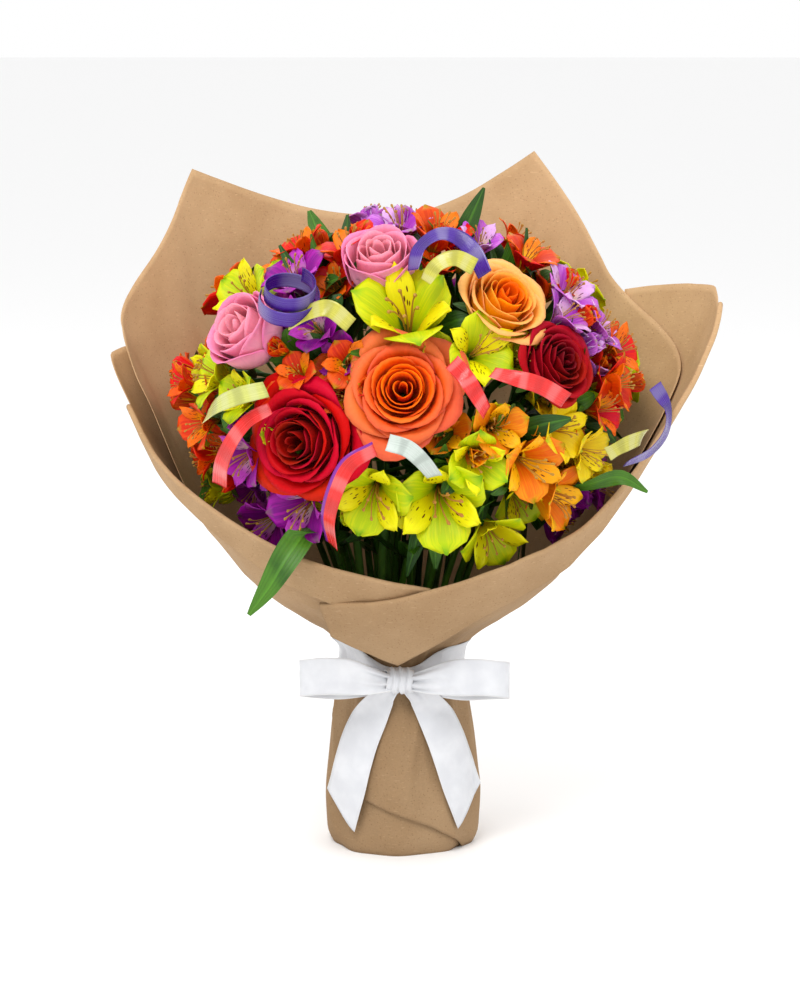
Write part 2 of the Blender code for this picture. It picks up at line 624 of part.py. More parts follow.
def make_bow():
    front = -(0.0325 + 0.0111) * DEPTH
    height = 0.1125
    knot_y = front - 0.0075
    rings = ((0, 1), (35, 1), (70, 1), (110, 1), (145, 1), (180, 1))
    points, faces = ring_shape(rings, 12, np.zeros(3), np.array([0, 0, 1.0]), 1.0)
    shaped = [np.array([p[0] * 0.0105, knot_y + p[1] * 0.0066, height + p[2] * 0.0115]) for p in points]
    add_object("satin_knot", shaped, faces, "satin")
    for side, name in ((-1, "satin_loop_left"), (1, "satin_loop_right")):
        reach = 0.060 if side < 0 else 0.065
        plan = ((0.0118, knot_y - 0.0015), (0.026, knot_y - 0.010), (0.045, knot_y - 0.013),
                (reach, knot_y - 0.006), (reach + 0.0015, knot_y + 0.002),
                (reach - 0.008, knot_y + 0.0075), (0.032, knot_y + 0.0050), (0.0118, knot_y + 0.0025))
        path = smooth_path([np.array([side * x, y, height - (x - 0.012) * 0.10]) for x, y in plan], 3)
        widths = [0.014 + 0.010 * smooth_step(abs(p[0]), 0.012, 0.030) for p in path]
        made = strip(path, [np.array([0, 0, 1.0])] * len(path), widths, SATIN)
        add_object(name, made[0], made[1], "satin")
    for side, name in ((-1, "satin_tail_left"), (1, "satin_tail_right")):
        plan = ((0.0045, 0.1005), (0.009, 0.085), (0.017, 0.060), (0.024, 0.038), (0.028, 0.020))
        path = []
        for x, z in plan:
            out = np.interp(z, LEVELS, SPLAYED) + 2.25 * PAPER_PITCH + PAPER + 0.0020
            path.append(np.array([side * x, -out * DEPTH - 0.0022, z]))
        path[0][1] = knot_y + 0.001
        path = smooth_path(path, 2)
        across = [np.array([1.0, 0, 0])] * len(path)
        widths = [0.012 if i == 0 else 0.017 if i == 1 else SATIN_WIDTH for i in range(len(path))]
        points, faces, _ = strip(path, across, widths, SATIN)
        for i in range(4):
            corner = points[len(points) - 4 + i]
            corner[2] += 0.006 * side * (1 if corner[0] > path[-1][0] else -1)
        for p in points:      # kept in front of the middle of the tails
            p[0] = min(p[0], -0.0012) if side < 0 else max(p[0], 0.0012)
        add_object(name, points, faces, "satin")


def centre_on_origin():
    """Puts the origin under the middle of the whole bunch, at the level that it stands on."""
    made = [obj for obj in bpy.data.objects if obj.type == "MESH"]
    spots = np.array([vertex.co for obj in made for vertex in obj.data.vertices])
    low, high = spots.min(axis=0), spots.max(axis=0)
    shift = np.array([-(low[0] + high[0]) / 2, -(low[1] + high[1]) / 2, -low[2]])
    for obj in made:
        for vertex in obj.data.vertices:
            vertex.co = [float(v) for v in np.array(vertex.co) + shift]


def main():
    for found in list(bpy.data.objects):
        bpy.data.objects.remove(found, do_unlink=True)
    for name in SHEETS:
        make_sheet(name)
    make_bunch()
    make_band()
    make_bow()
    centre_on_origin()


main()
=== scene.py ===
# %% [markdown]
# # A mixed bouquet in kraft paper
# The bouquet is a hand-tied bunch: nine roses and nineteen stems of alstroemeria with some leaf
# sprigs, wrapped in three folded sheets of kraft paper and tied with a satin ribbon. Short curled
# ribbons stand among the flowers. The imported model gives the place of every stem, sheet and ribbon.
# This file loads it and then makes the finished petals, leaves, paper and ribbon in the same places.

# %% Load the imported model
import math
import random

import bmesh
import bpy
import numpy as np
from mathutils import Matrix, Vector, noise


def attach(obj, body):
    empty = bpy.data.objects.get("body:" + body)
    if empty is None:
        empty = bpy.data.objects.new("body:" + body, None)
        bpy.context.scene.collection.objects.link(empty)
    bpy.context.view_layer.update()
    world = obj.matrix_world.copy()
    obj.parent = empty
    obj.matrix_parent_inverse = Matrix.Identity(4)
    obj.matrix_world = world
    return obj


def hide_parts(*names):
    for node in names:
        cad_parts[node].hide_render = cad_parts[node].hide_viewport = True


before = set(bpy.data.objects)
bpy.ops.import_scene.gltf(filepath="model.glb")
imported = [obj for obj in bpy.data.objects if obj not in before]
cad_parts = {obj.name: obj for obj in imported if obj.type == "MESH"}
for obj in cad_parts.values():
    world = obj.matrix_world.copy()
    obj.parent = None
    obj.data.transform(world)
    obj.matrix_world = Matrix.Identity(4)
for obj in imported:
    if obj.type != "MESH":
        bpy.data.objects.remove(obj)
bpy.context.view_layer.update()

# %% [markdown]
# ## Where everything stands
# The flower heads sit on a dome. A place on it is given as (round, down) in degrees: round is 0 at
# the front and 90 at the right, down is 0 at the top and 90 where the dome is widest. The same
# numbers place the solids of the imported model, so each finished piece lands on its solid.

# %% The dome and the plants
PAPER_THICKNESS, SATIN_THICKNESS, FILM_THICKNESS = 0.0004, 0.0004, 0.00025
AXIS_SHIFT = np.array([-0.0078, -0.0052])      # where the upright axis of the paper stands
DOME_CENTRE = np.array([-0.0038, -0.0052, 0.2821])
DOME_RADII = np.array([0.137, 0.119, 0.108])

# name: finish, round, down, radius in mm, openness from 0 (bud) to 1 (full)
ROSES = {
    "rose_orange": ("rose_orange", -1, 81, 34, 0.95),
    "rose_red": ("rose_red", -26, 97, 36, 0.85),
    "rose_pink_left": ("rose_pink", -47, 66, 23, 0.35),
    "rose_pink_top": ("rose_pink", -10, 39, 22, 0.35),
    "rose_peach": ("rose_peach", 30, 54, 29, 0.70),
    "rose_dark_red": ("rose_dark_red", 41, 75, 27, 0.55),
    "rose_rear_right": ("rose_peach", 148, 48, 27, 0.7),
    "rose_rear_left": ("rose_red", -150, 50, 27, 0.7),
    "rose_rear_low": ("rose_orange", 180, 90, 28, 0.7),
}
# name: finish, then (round, down, radius in mm) of each bloom
ALSTROEMERIAS = {
    "alstro_lime_top": ("alstro_lime", (0, 57, 31), (19, 69, 21)),
    "alstro_lime_front": ("alstro_lime", (-9, 115, 24), (9, 117, 29), (17, 103, 20), (30, 134, 22)),
    "alstro_lime_left": ("alstro_lime", (-62, 53, 21), (-59, 80, 20), (-45, 85, 17)),
    "alstro_lime_low_left": ("alstro_lime", (-80, 121, 16), (-96, 116, 16)),
    "alstro_gold_right": ("alstro_gold", (42, 95, 20), (53, 104, 17)),
    "alstro_orange_right": ("alstro_orange", (22, 93, 18), (32, 105, 22), (47, 119, 22)),
    "alstro_purple_low_left": ("alstro_purple", (-51, 130, 20), (-31, 121, 21), (-45, 104, 19)),
    "alstro_purple_left": ("alstro_purple", (-44, 44, 20), (-26, 62, 17)),
    "alstro_lilac_top": ("alstro_lilac", (-8, 14, 20), (-150, 18, 17)),
    "alstro_lilac_right": ("alstro_lilac", (44, 27, 15), (64, 52, 20), (52, 60, 17), (67, 66, 17)),
    "alstro_purple_low_right": ("alstro_purple", (82, 121, 18), (72, 135, 16)),
    "alstro_scarlet_left_top": ("alstro_scarlet", (-30, 30, 21), (-62, 32, 18)),
    "alstro_scarlet_top": ("alstro_scarlet", (22, 22, 20), (62, 37, 18), (100, 30, 15)),
    "alstro_scarlet_left": ("alstro_scarlet", (-66, 97, 16), (-70, 109, 14), (-76, 85, 14)),
    "alstro_scarlet_right": ("alstro_scarlet", (74, 74, 17), (67, 84, 18), (60, 91, 16)),
    "alstro_scarlet_middle": ("alstro_scarlet", (-15, 73, 15), (-29, 76, 13)),
    "alstro_rear_right": ("alstro_lime", (110, 56, 21), (124, 80, 21), (100, 86, 18), (118, 106, 18)),
    "alstro_rear_left": ("alstro_scarlet", (-108, 58, 21), (-122, 82, 21), (-99, 88, 18), (-118, 107, 18)),
    "alstro_rear_middle": ("alstro_purple", (178, 26, 19), (165, 68, 18), (-166, 70, 18)),
}


def unit(vector):
    return np.asarray(vector, float) / np.linalg.norm(vector)


def on_dome(round_deg, down_deg, lift_mm=0.0):
    """The point of the dome in a direction, lifted off it along its normal."""
    around, down = math.radians(round_deg), math.radians(down_deg)
    way = np.array([math.sin(down) * math.sin(around), -math.sin(down) * math.cos(around), math.cos(down)])
    return DOME_CENTRE + way * DOME_RADII + unit(way / DOME_RADII) * lift_mm / 1000


def facing(round_deg, down_deg):
    """The way a bloom faces: outwards from the dome and a little upwards."""
    spot = on_dome(round_deg, down_deg) - DOME_CENTRE
    return unit(spot / DOME_RADII ** 2 * 0.015 + unit(spot) + (0, 0, 0.18))


def stem_line(node):
    """The middle of a stem at a few levels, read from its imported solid."""
    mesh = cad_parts[node].data
    spots = np.array([v.co for v in mesh.vertices])
    line = []
    for level in (0.0, 0.060, 0.118, 0.160, 0.205):
        ring = spots[abs(spots[:, 2] - level) < 0.0013]
        if len(ring) >= 5 and np.ptp(ring, axis=0).max() < 0.012:
            line.append(ring.mean(axis=0))
    line[0][2] = spots[:, 2].min()
    return line


print(len(ROSES), "roses and", len(ALSTROEMERIAS), "alstroemeria stems")

# %% [markdown]
# ## Shader maths as plain expressions
# A material is a network of nodes. Writing `1 - mask * 0.4` is easier to read than three Math
# nodes, so a small class wraps a socket and turns the operators into nodes. One method, `node`,
# makes any other node: its settings come first, then what its inputs are joined to.

# %% The shader helper
class Socket:
    def __init__(self, paint, output):
        self.paint, self.output = paint, output

    def math(self, operation, other, swap=False):
        pair = (other, self) if swap else (self, other)
        return self.paint.node("ShaderNodeMath", {"operation": operation}, {0: pair[0], 1: pair[1]})

    def __add__(self, other): return self.math("ADD", other)
    def __radd__(self, other): return self.math("ADD", other, True)
    def __sub__(self, other): return self.math("SUBTRACT", other)
    def __rsub__(self, other): return self.math("SUBTRACT", other, True)
    def __mul__(self, other): return self.math("MULTIPLY", other)
    def __rmul__(self, other): return self.math("MULTIPLY", other, True)
    def __pow__(self, other): return self.math("POWER", other)


class Paint:
    """One material: its nodes, and the Principled shader that they feed."""

    def __init__(self, name, **sockets):
        self.material = bpy.data.materials.new(name)
        self.material.use_nodes = True
        self.tree = self.material.node_tree
        self.shader = self.tree.nodes["Principled BSDF"]
        for key, value in sockets.items():
            self.shader.inputs[key.replace("_", " ")].default_value = value

    def node(self, kind, settings=None, inputs=None, output=0):
        made = self.tree.nodes.new(kind)
        for key, value in (settings or {}).items():
            setattr(made, key, value)
        for key, value in (inputs or {}).items():
            self.feed(made.inputs[key], value)
        return Socket(self, made.outputs[output])

    def feed(self, socket, value):
        if isinstance(value, Socket):
            self.tree.links.new(value.output, socket)
        elif socket.type == "RGBA" and len(value) == 3:
            socket.default_value = (*value, 1)
        else:
            socket.default_value = value

    def set(self, **inputs):
        for key, value in inputs.items():
            self.feed(self.shader.inputs[key.replace("_", " ")], value)
        return self

    def mix(self, share, first, second):
        """A colour between two colours."""
        return self.node("ShaderNodeMix", {"data_type": "RGBA"}, {0: share, 6: first, 7: second}, 2)

    def between(self, value, low, high):
        """0 below low, 1 above high, smooth between them."""
        return self.node("ShaderNodeMapRange", {"interpolation_type": "SMOOTHSTEP"},
                         {"Value": value, "From Min": low, "From Max": high})

    def place(self, scale=(1, 1, 1)):
        spot = self.node("ShaderNodeTexCoord", output="Object")
        return self.node("ShaderNodeMapping", {}, {"Vector": spot, "Scale": scale})

    def across(self):
        """The two directions of the piece's own map: across (0 to 1) and along (0 to 1)."""
        spot = self.node("ShaderNodeTexCoord", output="UV")
        node = self.node("ShaderNodeSeparateXYZ", {}, {0: spot}).output.node
        return Socket(self, node.outputs[0]), Socket(self, node.outputs[1])

    def noise(self, scale, where=None, detail=3.0, rough=0.5):
        return self.node("ShaderNodeTexNoise", {}, {"Vector": where or self.place(), "Scale": scale,
                                                    "Detail": detail, "Roughness": rough})

    def mark(self):
        """The piece's own colour attribute, as three values."""
        spot = self.node("ShaderNodeAttribute", {"attribute_name": "mark"})
        node = self.node("ShaderNodeSeparateColor", {}, {0: spot}).output.node
        return [Socket(self, node.outputs[i]) for i in range(3)]

    def vector(self, first, second, third):
        return self.node("ShaderNodeCombineXYZ", {}, {0: first, 1: second, 2: third})

    def wave(self, turns):
        """The sine of a number of whole turns."""
        return self.node("ShaderNodeMath", {"operation": "SINE"}, {0: turns * math.tau})

    def toned(self, colour, value, hue=0.5, saturation=1.0):
        """The colour made lighter or darker by a value, with its hue turned a little."""
        return self.node("ShaderNodeHueSaturation", {}, {"Hue": hue, "Saturation": saturation,
                                                         "Value": value, "Color": colour})

    def bump(self, height, strength, distance):
        return self.node("ShaderNodeBump", {}, {"Height": height, "Strength": strength, "Distance": distance})


# %% [markdown]
# ## Modelling helpers
# A petal, a leaf, a sheet of paper and a length of ribbon all start as a flat grid. The grid is
# added with its row and column count, and its points are then carried onto the real shape by a
# short function of two numbers: across and along, each from 0 to 1. The same two numbers are kept
# as the piece's map, so a vein or a thread can follow the shape.

# %% Grids, joins and finishing
def deselect():
    if bpy.context.mode != "OBJECT":
        bpy.ops.object.mode_set(mode="OBJECT")
    bpy.ops.object.select_all(action="DESELECT")


def only(obj):
    deselect()
    obj.select_set(True)
    bpy.context.view_layer.objects.active = obj
    return obj


def grid(name, columns, rows, shape, mark=(0, 0, 0)):
    """A grid whose points are carried to shape(across, along)."""
    deselect()
    bpy.ops.mesh.primitive_grid_add(x_subdivisions=columns, y_subdivisions=rows, size=1, calc_uvs=True)
    made = bpy.context.object
    made.name = name
    mesh = made.data
    count = len(mesh.vertices)
    flat = np.empty(count * 3)
    mesh.vertices.foreach_get("co", flat)
    flat = flat.reshape(-1, 3)[:, :2] + 0.5
    spots = np.array([shape(float(a), float(b)) for a, b in flat])
    mesh.vertices.foreach_set("co", spots.ravel())
    colour = mesh.attributes.new("mark", "FLOAT_COLOR", "POINT")
    colour.data.foreach_set("color", np.tile((*mark, 1.0), count))
    mesh.update()
    return made


def join(objects, name):
    """Joins pieces into one object, which takes the name."""
    deselect()
    for obj in objects:
        obj.select_set(True)
    bpy.context.view_layer.objects.active = objects[0]
    if len(objects) > 1:
        bpy.ops.object.join()
    objects[0].name = objects[0].data.name = name
    return objects[0]


def copy_of(obj, matrix, tint=None):
    """A copy with its own mesh, put in place in that mesh."""
    mesh = obj.data.copy()
    mesh.transform(matrix)
    if tint is not None:
        values = np.empty(len(mesh.vertices) * 4)
        mesh.attributes["mark"].data.foreach_get("color", values)
        values = values.reshape(-1, 4)
        values[:, 0] = (values[:, 0] + tint) % 1.0
        mesh.attributes["mark"].data.foreach_set("color", values.ravel())
    made = bpy.data.objects.new(obj.name, mesh)
    bpy.context.collection.objects.link(made)
    return made


def apply(obj, kind, **settings):
    only(obj)
    modifier = obj.modifiers.new(kind.lower(), kind)
    for key, value in settings.items():
        setattr(modifier, key, value)
    bpy.ops.object.modifier_apply(modifier=modifier.name)
    return obj


def thicken(obj, thickness, offset=0.0):
    return apply(obj, "SOLIDIFY", thickness=thickness, offset=offset, use_even_offset=True)


def finish(obj, paint, replaced=()):
    obj.data.materials.clear()
    obj.data.materials.append(paint.material)
    for polygon in obj.data.polygons:
        polygon.material_index = 0
    obj.data.shade_smooth()
    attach(obj, "root")
    if replaced:
        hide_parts(*replaced)
    return obj


def standing(centre, way, turn=0.0, size=1.0):
    """The matrix that stands a piece modelled on +Z at a centre, facing a way."""
    up = Vector(way).to_track_quat("Z", "Y").to_matrix().to_4x4()
    return Matrix.Translation(Vector(centre)) @ up @ Matrix.Rotation(turn, 4, "Z") @ Matrix.Scale(size, 4)


def smooth_step(value, low, high):
    t = min(max((value - low) / (high - low), 0), 1)
    return t * t * (3 - 2 * t)


def spline(a, b, c, d, t):
    """The point at a share t of the way from b to c, on a smooth curve through a, b, c and d."""
    return 0.5 * (2 * b + (c - a) * t + (2 * a - 5 * b + 4 * c - d) * t ** 2
                  + (3 * b - a - 3 * c + d) * t ** 3)


def smooth_path(points, steps):
    """A smooth curve through the points."""
    points = [np.asarray(p, float) for p in points]
    padded = [2 * points[0] - points[1], *points, 2 * points[-1] - points[-2]]
    dense = []
    for a, b, c, d in zip(padded, padded[1:], padded[2:], padded[3:]):
        dense += [spline(a, b, c, d, k / steps) for k in range(steps)]
    return dense + [points[-1]]


def tubes(name, lines, mark=(0, 0, 0), sides=3):
    """Round stalks along lines of (points, radii), as one mesh with closed ends."""
    curve = bpy.data.curves.new(name, "CURVE")
    curve.dimensions, curve.use_fill_caps = "3D", True
    curve.bevel_depth, curve.bevel_resolution = 1.0, sides - 1
    for points, radii in lines:
        spline = curve.splines.new("POLY")
        spline.points.add(len(points) - 1)
        for spot, point, radius in zip(spline.points, points, radii):
            spot.co, spot.radius = (*map(float, point), 1), float(radius)
    made = bpy.data.objects.new(name, curve)
    bpy.context.collection.objects.link(made)
    only(made)
    bpy.ops.object.convert(target="MESH")
    made = bpy.context.object
    colour = made.data.attributes.new("mark", "FLOAT_COLOR", "POINT")
    colour.data.foreach_set("color", np.tile((*mark, 1.0), len(made.data.vertices)))
    if not made.data.uv_layers:
        made.data.uv_layers.new(name="UVMap")
    return made


# %% [markdown]
# ## Petal finishes
# A rose petal is matt velvet: its colour deepens towards the heart of the flower, pales towards the
# rolled rim, and fine veins fan out from its foot. The map gives the place on the petal, and the
# piece's mark tells how far out in the flower the petal stands, so inner and outer petals differ.

# %% Rose petal finishes
def rose_paint(name, heart, body, outer, rim, foot):
    paint = Paint(name, Roughness=0.55, Sheen_Weight=0.02, Sheen_Roughness=0.4, Subsurface_Weight=0.10,
                  Subsurface_Scale=0.004, Specular_IOR_Level=0.10)
    across, along = paint.across()
    random_value, layer, _ = paint.mark()
    colour = paint.mix(paint.between(layer, 0.05, 0.55), heart, body)
    colour = paint.mix(paint.between(layer, 0.55, 1.0), colour, outer)
    side = (across - 0.5) * 2
    edge = paint.between(along, 0.62, 1.0) + paint.between(side * side, 0.55, 1.0) * 0.6
    colour = paint.mix(edge * paint.between(layer, 0.15, 0.7) * 0.75, colour, rim)
    colour = paint.mix(paint.between(1 - along, 0.55, 0.95) * 0.8, colour, foot)
    fan = paint.vector(side * (1.4 - along) * 26, along * 2.2, random_value * 9)
    veins = paint.noise(1.0, fan, 2.0)
    blotch = paint.noise(70.0, detail=2.0)
    hue = 0.5 + (random_value - 0.5) * 0.012
    colour = paint.toned(colour, 0.80 + veins * 0.22 + blotch * 0.16, hue, 1.03)
    paint.set(Base_Color=colour, Roughness=0.46 + blotch * 0.2,
              Normal=paint.bump(veins + blotch * 0.4, 0.35, 0.0006))
    return paint


# finish: the heart, the middle petals, the outer petals, the rims and the foot of the petals
ROSE_COLOURS = {
    "rose_orange": ((0.92, 0.13, 0.004), (0.94, 0.19, 0.012), (0.88, 0.17, 0.045), (0.80, 0.15, 0.085),
                    (0.95, 0.34, 0.02)),
    "rose_red": ((0.26, 0.0, 0.002), (0.47, 0.001, 0.003), (0.56, 0.002, 0.005), (0.56, 0.003, 0.009),
                 (0.24, 0.0, 0.003)),
    "rose_pink": ((0.86, 0.32, 0.40), (0.90, 0.36, 0.48), (0.90, 0.34, 0.50), (0.82, 0.20, 0.42),
                  (0.76, 0.66, 0.32)),
    "rose_peach": ((0.88, 0.14, 0.004), (0.96, 0.40, 0.014), (0.96, 0.50, 0.08), (0.94, 0.42, 0.18),
                   (0.96, 0.54, 0.02)),
    "rose_dark_red": ((0.13, 0.0, 0.002), (0.27, 0.0, 0.003), (0.36, 0.001, 0.005), (0.38, 0.002, 0.008),
                      (0.12, 0.0, 0.002)),
}
ROSE_PAINTS = {name: rose_paint(name, *colours) for name, colours in ROSE_COLOURS.items()}
print(len(ROSE_PAINTS), "rose finishes")

# %% [markdown]
# An alstroemeria bloom has three broad outer petals with a green thumbprint at the tip and three
# narrow inner ones with a yellow throat and dark whisker-like flecks. The mark holds 1 for an inner
# petal, and its third value holds 1 for the stamens, so that one finish serves the whole bloom.

# %% Alstroemeria petal finishes
def alstro_paint(name, outer, deep, inner, throat, fleck, tip):
    paint = Paint(name, Roughness=0.45, Subsurface_Weight=0.10, Subsurface_Scale=0.003,
                  Specular_IOR_Level=0.22)
    across, along = paint.across()
    random_value, is_inner, is_stamen = paint.mark()
    side = (across - 0.5) * 2
    fan = paint.vector(side * (1.5 - along) * 15, along * 1.6, random_value * 7)
    veins = paint.noise(1.0, fan, 2.0)
    blotch = paint.noise(90.0, detail=2.0)
    middle = 1 - paint.between(side * side, 0.0, 0.5)
    colour = paint.mix(paint.between(veins + middle * 0.18, 0.45, 0.75), outer, deep)
    inner_colour = paint.mix(paint.between(along, 0.30, 0.72), throat, inner)
    colour = paint.mix(is_inner, colour, inner_colour)
    colour = paint.mix(paint.between(1 - along, 0.62, 0.95) * 0.85, colour, tip)
    thumb = paint.between(along, 0.86, 0.99) * middle * (1 - is_inner)
    colour = paint.mix(thumb * 0.85, colour, tip)
    grain = paint.vector(side * 4.6, along * 6.5, random_value * 5)
    spots = paint.node("ShaderNodeTexVoronoi", {}, {"Vector": grain, "Scale": 1.0, "Randomness": 0.9})
    where = paint.between(along, 0.16, 0.30) * paint.between(1 - along, 0.10, 0.32) * is_inner
    flecks = (1 - paint.between(spots, 0.22, 0.34)) * where
    colour = paint.mix(flecks, colour, fleck)
    colour = paint.mix(is_stamen, colour, (0.42, 0.22, 0.05))
    colour = paint.toned(colour, 0.84 + veins * 0.18 + blotch * 0.14, 0.5 + (random_value - 0.5) * 0.02, 1.04)
    paint.set(Base_Color=colour, Roughness=0.40 + blotch * 0.16, Normal=paint.bump(veins, 0.4, 0.0006))
    return paint


# finish: outer petals, their deep veins, inner petals, throat, flecks and the green of the tips
ALSTRO_COLOURS = {
    "alstro_lime": ((0.58, 0.62, 0.010), (0.40, 0.52, 0.008), (0.76, 0.70, 0.015), (0.80, 0.66, 0.012),
                    (0.09, 0.015, 0.003), (0.17, 0.38, 0.010)),
    "alstro_gold": ((0.84, 0.60, 0.012), (0.74, 0.50, 0.010), (0.86, 0.58, 0.012), (0.84, 0.55, 0.010),
                    (0.14, 0.02, 0.003), (0.38, 0.44, 0.015)),
    "alstro_orange": ((0.86, 0.27, 0.006), (0.78, 0.15, 0.004), (0.88, 0.40, 0.010), (0.88, 0.52, 0.012),
                      (0.16, 0.012, 0.003), (0.46, 0.38, 0.015)),
    "alstro_purple": ((0.36, 0.018, 0.34), (0.19, 0.006, 0.22), (0.44, 0.05, 0.42), (0.76, 0.58, 0.50),
                      (0.06, 0.001, 0.045), (0.24, 0.12, 0.16)),
    "alstro_lilac": ((0.56, 0.17, 0.60), (0.36, 0.05, 0.46), (0.68, 0.38, 0.70), (0.84, 0.66, 0.34),
                     (0.14, 0.006, 0.09), (0.36, 0.30, 0.18)),
    "alstro_scarlet": ((0.74, 0.045, 0.004), (0.56, 0.012, 0.003), (0.84, 0.15, 0.006), (0.90, 0.50, 0.015),
                       (0.20, 0.003, 0.004), (0.42, 0.26, 0.012)),
}
ALSTRO_PAINTS = {name: alstro_paint(name, *colours) for name, colours in ALSTRO_COLOURS.items()}
print(len(ALSTRO_PAINTS), "alstroemeria finishes")

# %% [markdown]
# Leaves and stems are green with parallel veins, paler at the middle, and a waxy surface.

# %% Green finishes
def green_paint(name, dark, light, gloss, vein_count):
    paint = Paint(name, Roughness=gloss, Coat_Weight=0.04, Coat_Roughness=0.35, Subsurface_Weight=0.06,
                  Subsurface_Scale=0.003, Specular_IOR_Level=0.3)
    across, _ = paint.across()
    random_value, _, _ = paint.mark()
    side = (across - 0.5) * 2
    lines = paint.wave(across * vein_count)
    middle = 1 - paint.between(side * side, 0.0, 0.03)
    blotch = paint.noise(55.0, detail=4.0)
    colour = paint.mix(paint.between(blotch + (random_value - 0.5) * 0.5, 0.30, 0.75), dark, light)
    colour = paint.mix(middle * 0.35, colour, tuple(min(1.0, c * 1.9) for c in light))
    colour = paint.toned(colour, 0.92 + lines * 0.07)
    paint.set(Base_Color=colour, Roughness=gloss - 0.08 + blotch * 0.2,
              Normal=paint.bump(lines * 0.5 + middle, 0.35, 0.0004))
    return paint


LEAF = green_paint("leaf_green", (0.015, 0.068, 0.004), (0.060, 0.180, 0.010), 0.45, 7)
STEM = green_paint("stem_green", (0.028, 0.090, 0.012), (0.075, 0.19, 0.026), 0.45, 4)

# %% [markdown]
# ## Leaves
# A leaf is a strip that follows a bent midrib. It is widest a third of the way along, folds a
# little along its midrib, and its edges wave.

# %% The leaf shape
rng = random.Random(11)


def leaf(name, midrib, half_width, facing_way, wave=0.06, columns=4, rows=10, fold=0.25):
    """midrib is a list of points; facing_way is the way that the upper face looks."""
    line = smooth_path(midrib, 6)
    tint = rng.random()
    swing = rng.uniform(0, math.tau)
    facing_way = unit(facing_way)

    def shape(across, along):
        place = along * (len(line) - 1)
        i = min(int(place), len(line) - 2)
        spot = line[i] * (i + 1 - place) + line[i + 1] * (place - i)
        way = unit(line[i + 1] - line[i])
        side = unit(np.cross(way, facing_way))
        up = np.cross(side, way)
        outline = math.sin(math.pi * min(1, along * 0.90 + 0.06)) ** 0.85
        width = half_width * outline * (1.12 - along * 0.25)
        s = (across - 0.5) * 2
        lift = fold * abs(s) * width + wave * half_width * math.sin(along * 9 + swing + s * 1.3) * abs(s)
        return spot + side * (s * width) + up * lift

    return grid(name, columns, rows, shape, (tint, 0, 0))


# %% [markdown]
# ## Roses
# A garden rose is a bud of overlapping petals around a spiral heart. Each petal grows from the
# flower's foot, wraps part of the way round the ones inside it, and opens and rolls back more the
# further out it stands. The petals are set one after another at the golden angle, as they grow.

# %% One rose petal, and a whole rose
GOLDEN = math.radians(137.5)


def rose_petal(place, turn, opening, seed):
    """place is 0 for the innermost petal and 1 for the outermost; sizes are for a rose of radius 1."""
    wobble = random.Random(seed)
    belly = 0.10 + 0.74 * place ** 0.85                     # how far out the middle of the petal stands
    height = 0.50 - 0.42 * place ** 2.0 * opening           # how high its rim stands
    flare = (0.02 + 0.34 * place ** 1.6) * opening          # how far its rim leans out
    roll = (0.03 + 0.20 * place ** 1.5) * opening           # how far its rim rolls back down
    half = math.radians(100 - 46 * place)                   # how far it wraps round, each side
    lean, wave, shift = wobble.uniform(-0.03, 0.03), wobble.uniform(0.010, 0.028), wobble.uniform(0, math.tau)

    def shape(across, along):
        s = (across - 0.5) * 2
        outline = 0.30 + 0.70 * math.sin(math.pi * 0.5 * min(1, along / 0.62)) ** 0.8
        rim = 1 - 0.16 * abs(s) ** 2.6 - 0.05 * s * s
        v = along * rim
        if along > 0.62:
            outline *= math.sqrt(max(0.0, 1 - ((along - 0.62) / 0.38) ** 2 * 0.42))
        radius = 0.06 + (belly - 0.06) * math.sin(math.pi * 0.5 * min(1, v / 0.60)) ** 1.15
        if v > 0.60:
            t = (v - 0.60) / 0.40
            radius += flare * t * t - (1 - place) * 0.10 * belly * t
        t = max(0.0, (v - 0.80) / 0.20)
        top = -0.66 + (height + 0.66) * v ** 0.92 - roll * t * t
        point = 0.05 * place * (1 - abs(s)) ** 2 * max(0.0, (along - 0.8) / 0.2)
        curl = 0.12 * place * opening * abs(s) ** 4 * max(0.0, along - 0.4)
        radius += curl + point + lean * along
        top += wave * math.sin(s * 4.2 + shift) * along ** 3 - curl * 0.8
        angle = turn + s * half * outline
        return (radius * math.cos(angle), radius * math.sin(angle), top)

    return grid("petal", 8, 9, shape, (wobble.random(), place, 0))


def rose(name, opening, count, seed):
    """A whole rose of radius 1; a closed one has only the inner petals."""
    petals = []
    for i in range(count):
        place = i / (count - 1)
        petals.append(rose_petal(place * (0.45 + 0.55 * opening) if opening < 0.5 else place,
                                 i * GOLDEN + seed, 0.35 + 0.65 * opening, seed * 100 + i))
    made = join(petals, name)
    thicken(made, 0.012)
    return made


OPEN_SCALE, CLOSED_SCALE = 0.00099, 0.00165      # metres for each mm of radius; a closed rose is narrow
ROSE_MODELS = {"full": rose("model_full", 1.0, 27, 1), "half": rose("model_half", 0.62, 24, 2),
               "bud": rose("model_bud", 0.30, 17, 3)}
for number, (name, (slot, around, down, size, opening)) in enumerate(ROSES.items()):
    model = ROSE_MODELS["full" if opening > 0.8 else "half" if opening > 0.5 else "bud"]
    centre, way = on_dome(around, down), facing(around, down)
    grown = size * (OPEN_SCALE if opening > 0.5 else CLOSED_SCALE)
    head = copy_of(model, standing(centre, way, number * 1.7, grown))
    head.name = head.data.name = name + "_petals"
    finish(head, ROSE_PAINTS[slot], [name + "_bloom"])
for model in ROSE_MODELS.values():
    bpy.data.objects.remove(model, do_unlink=True)
print("roses made")

# %% [markdown]
# Under each rose sits a green cup with five pointed sepals, on a plain stem. The stem follows its
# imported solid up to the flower.

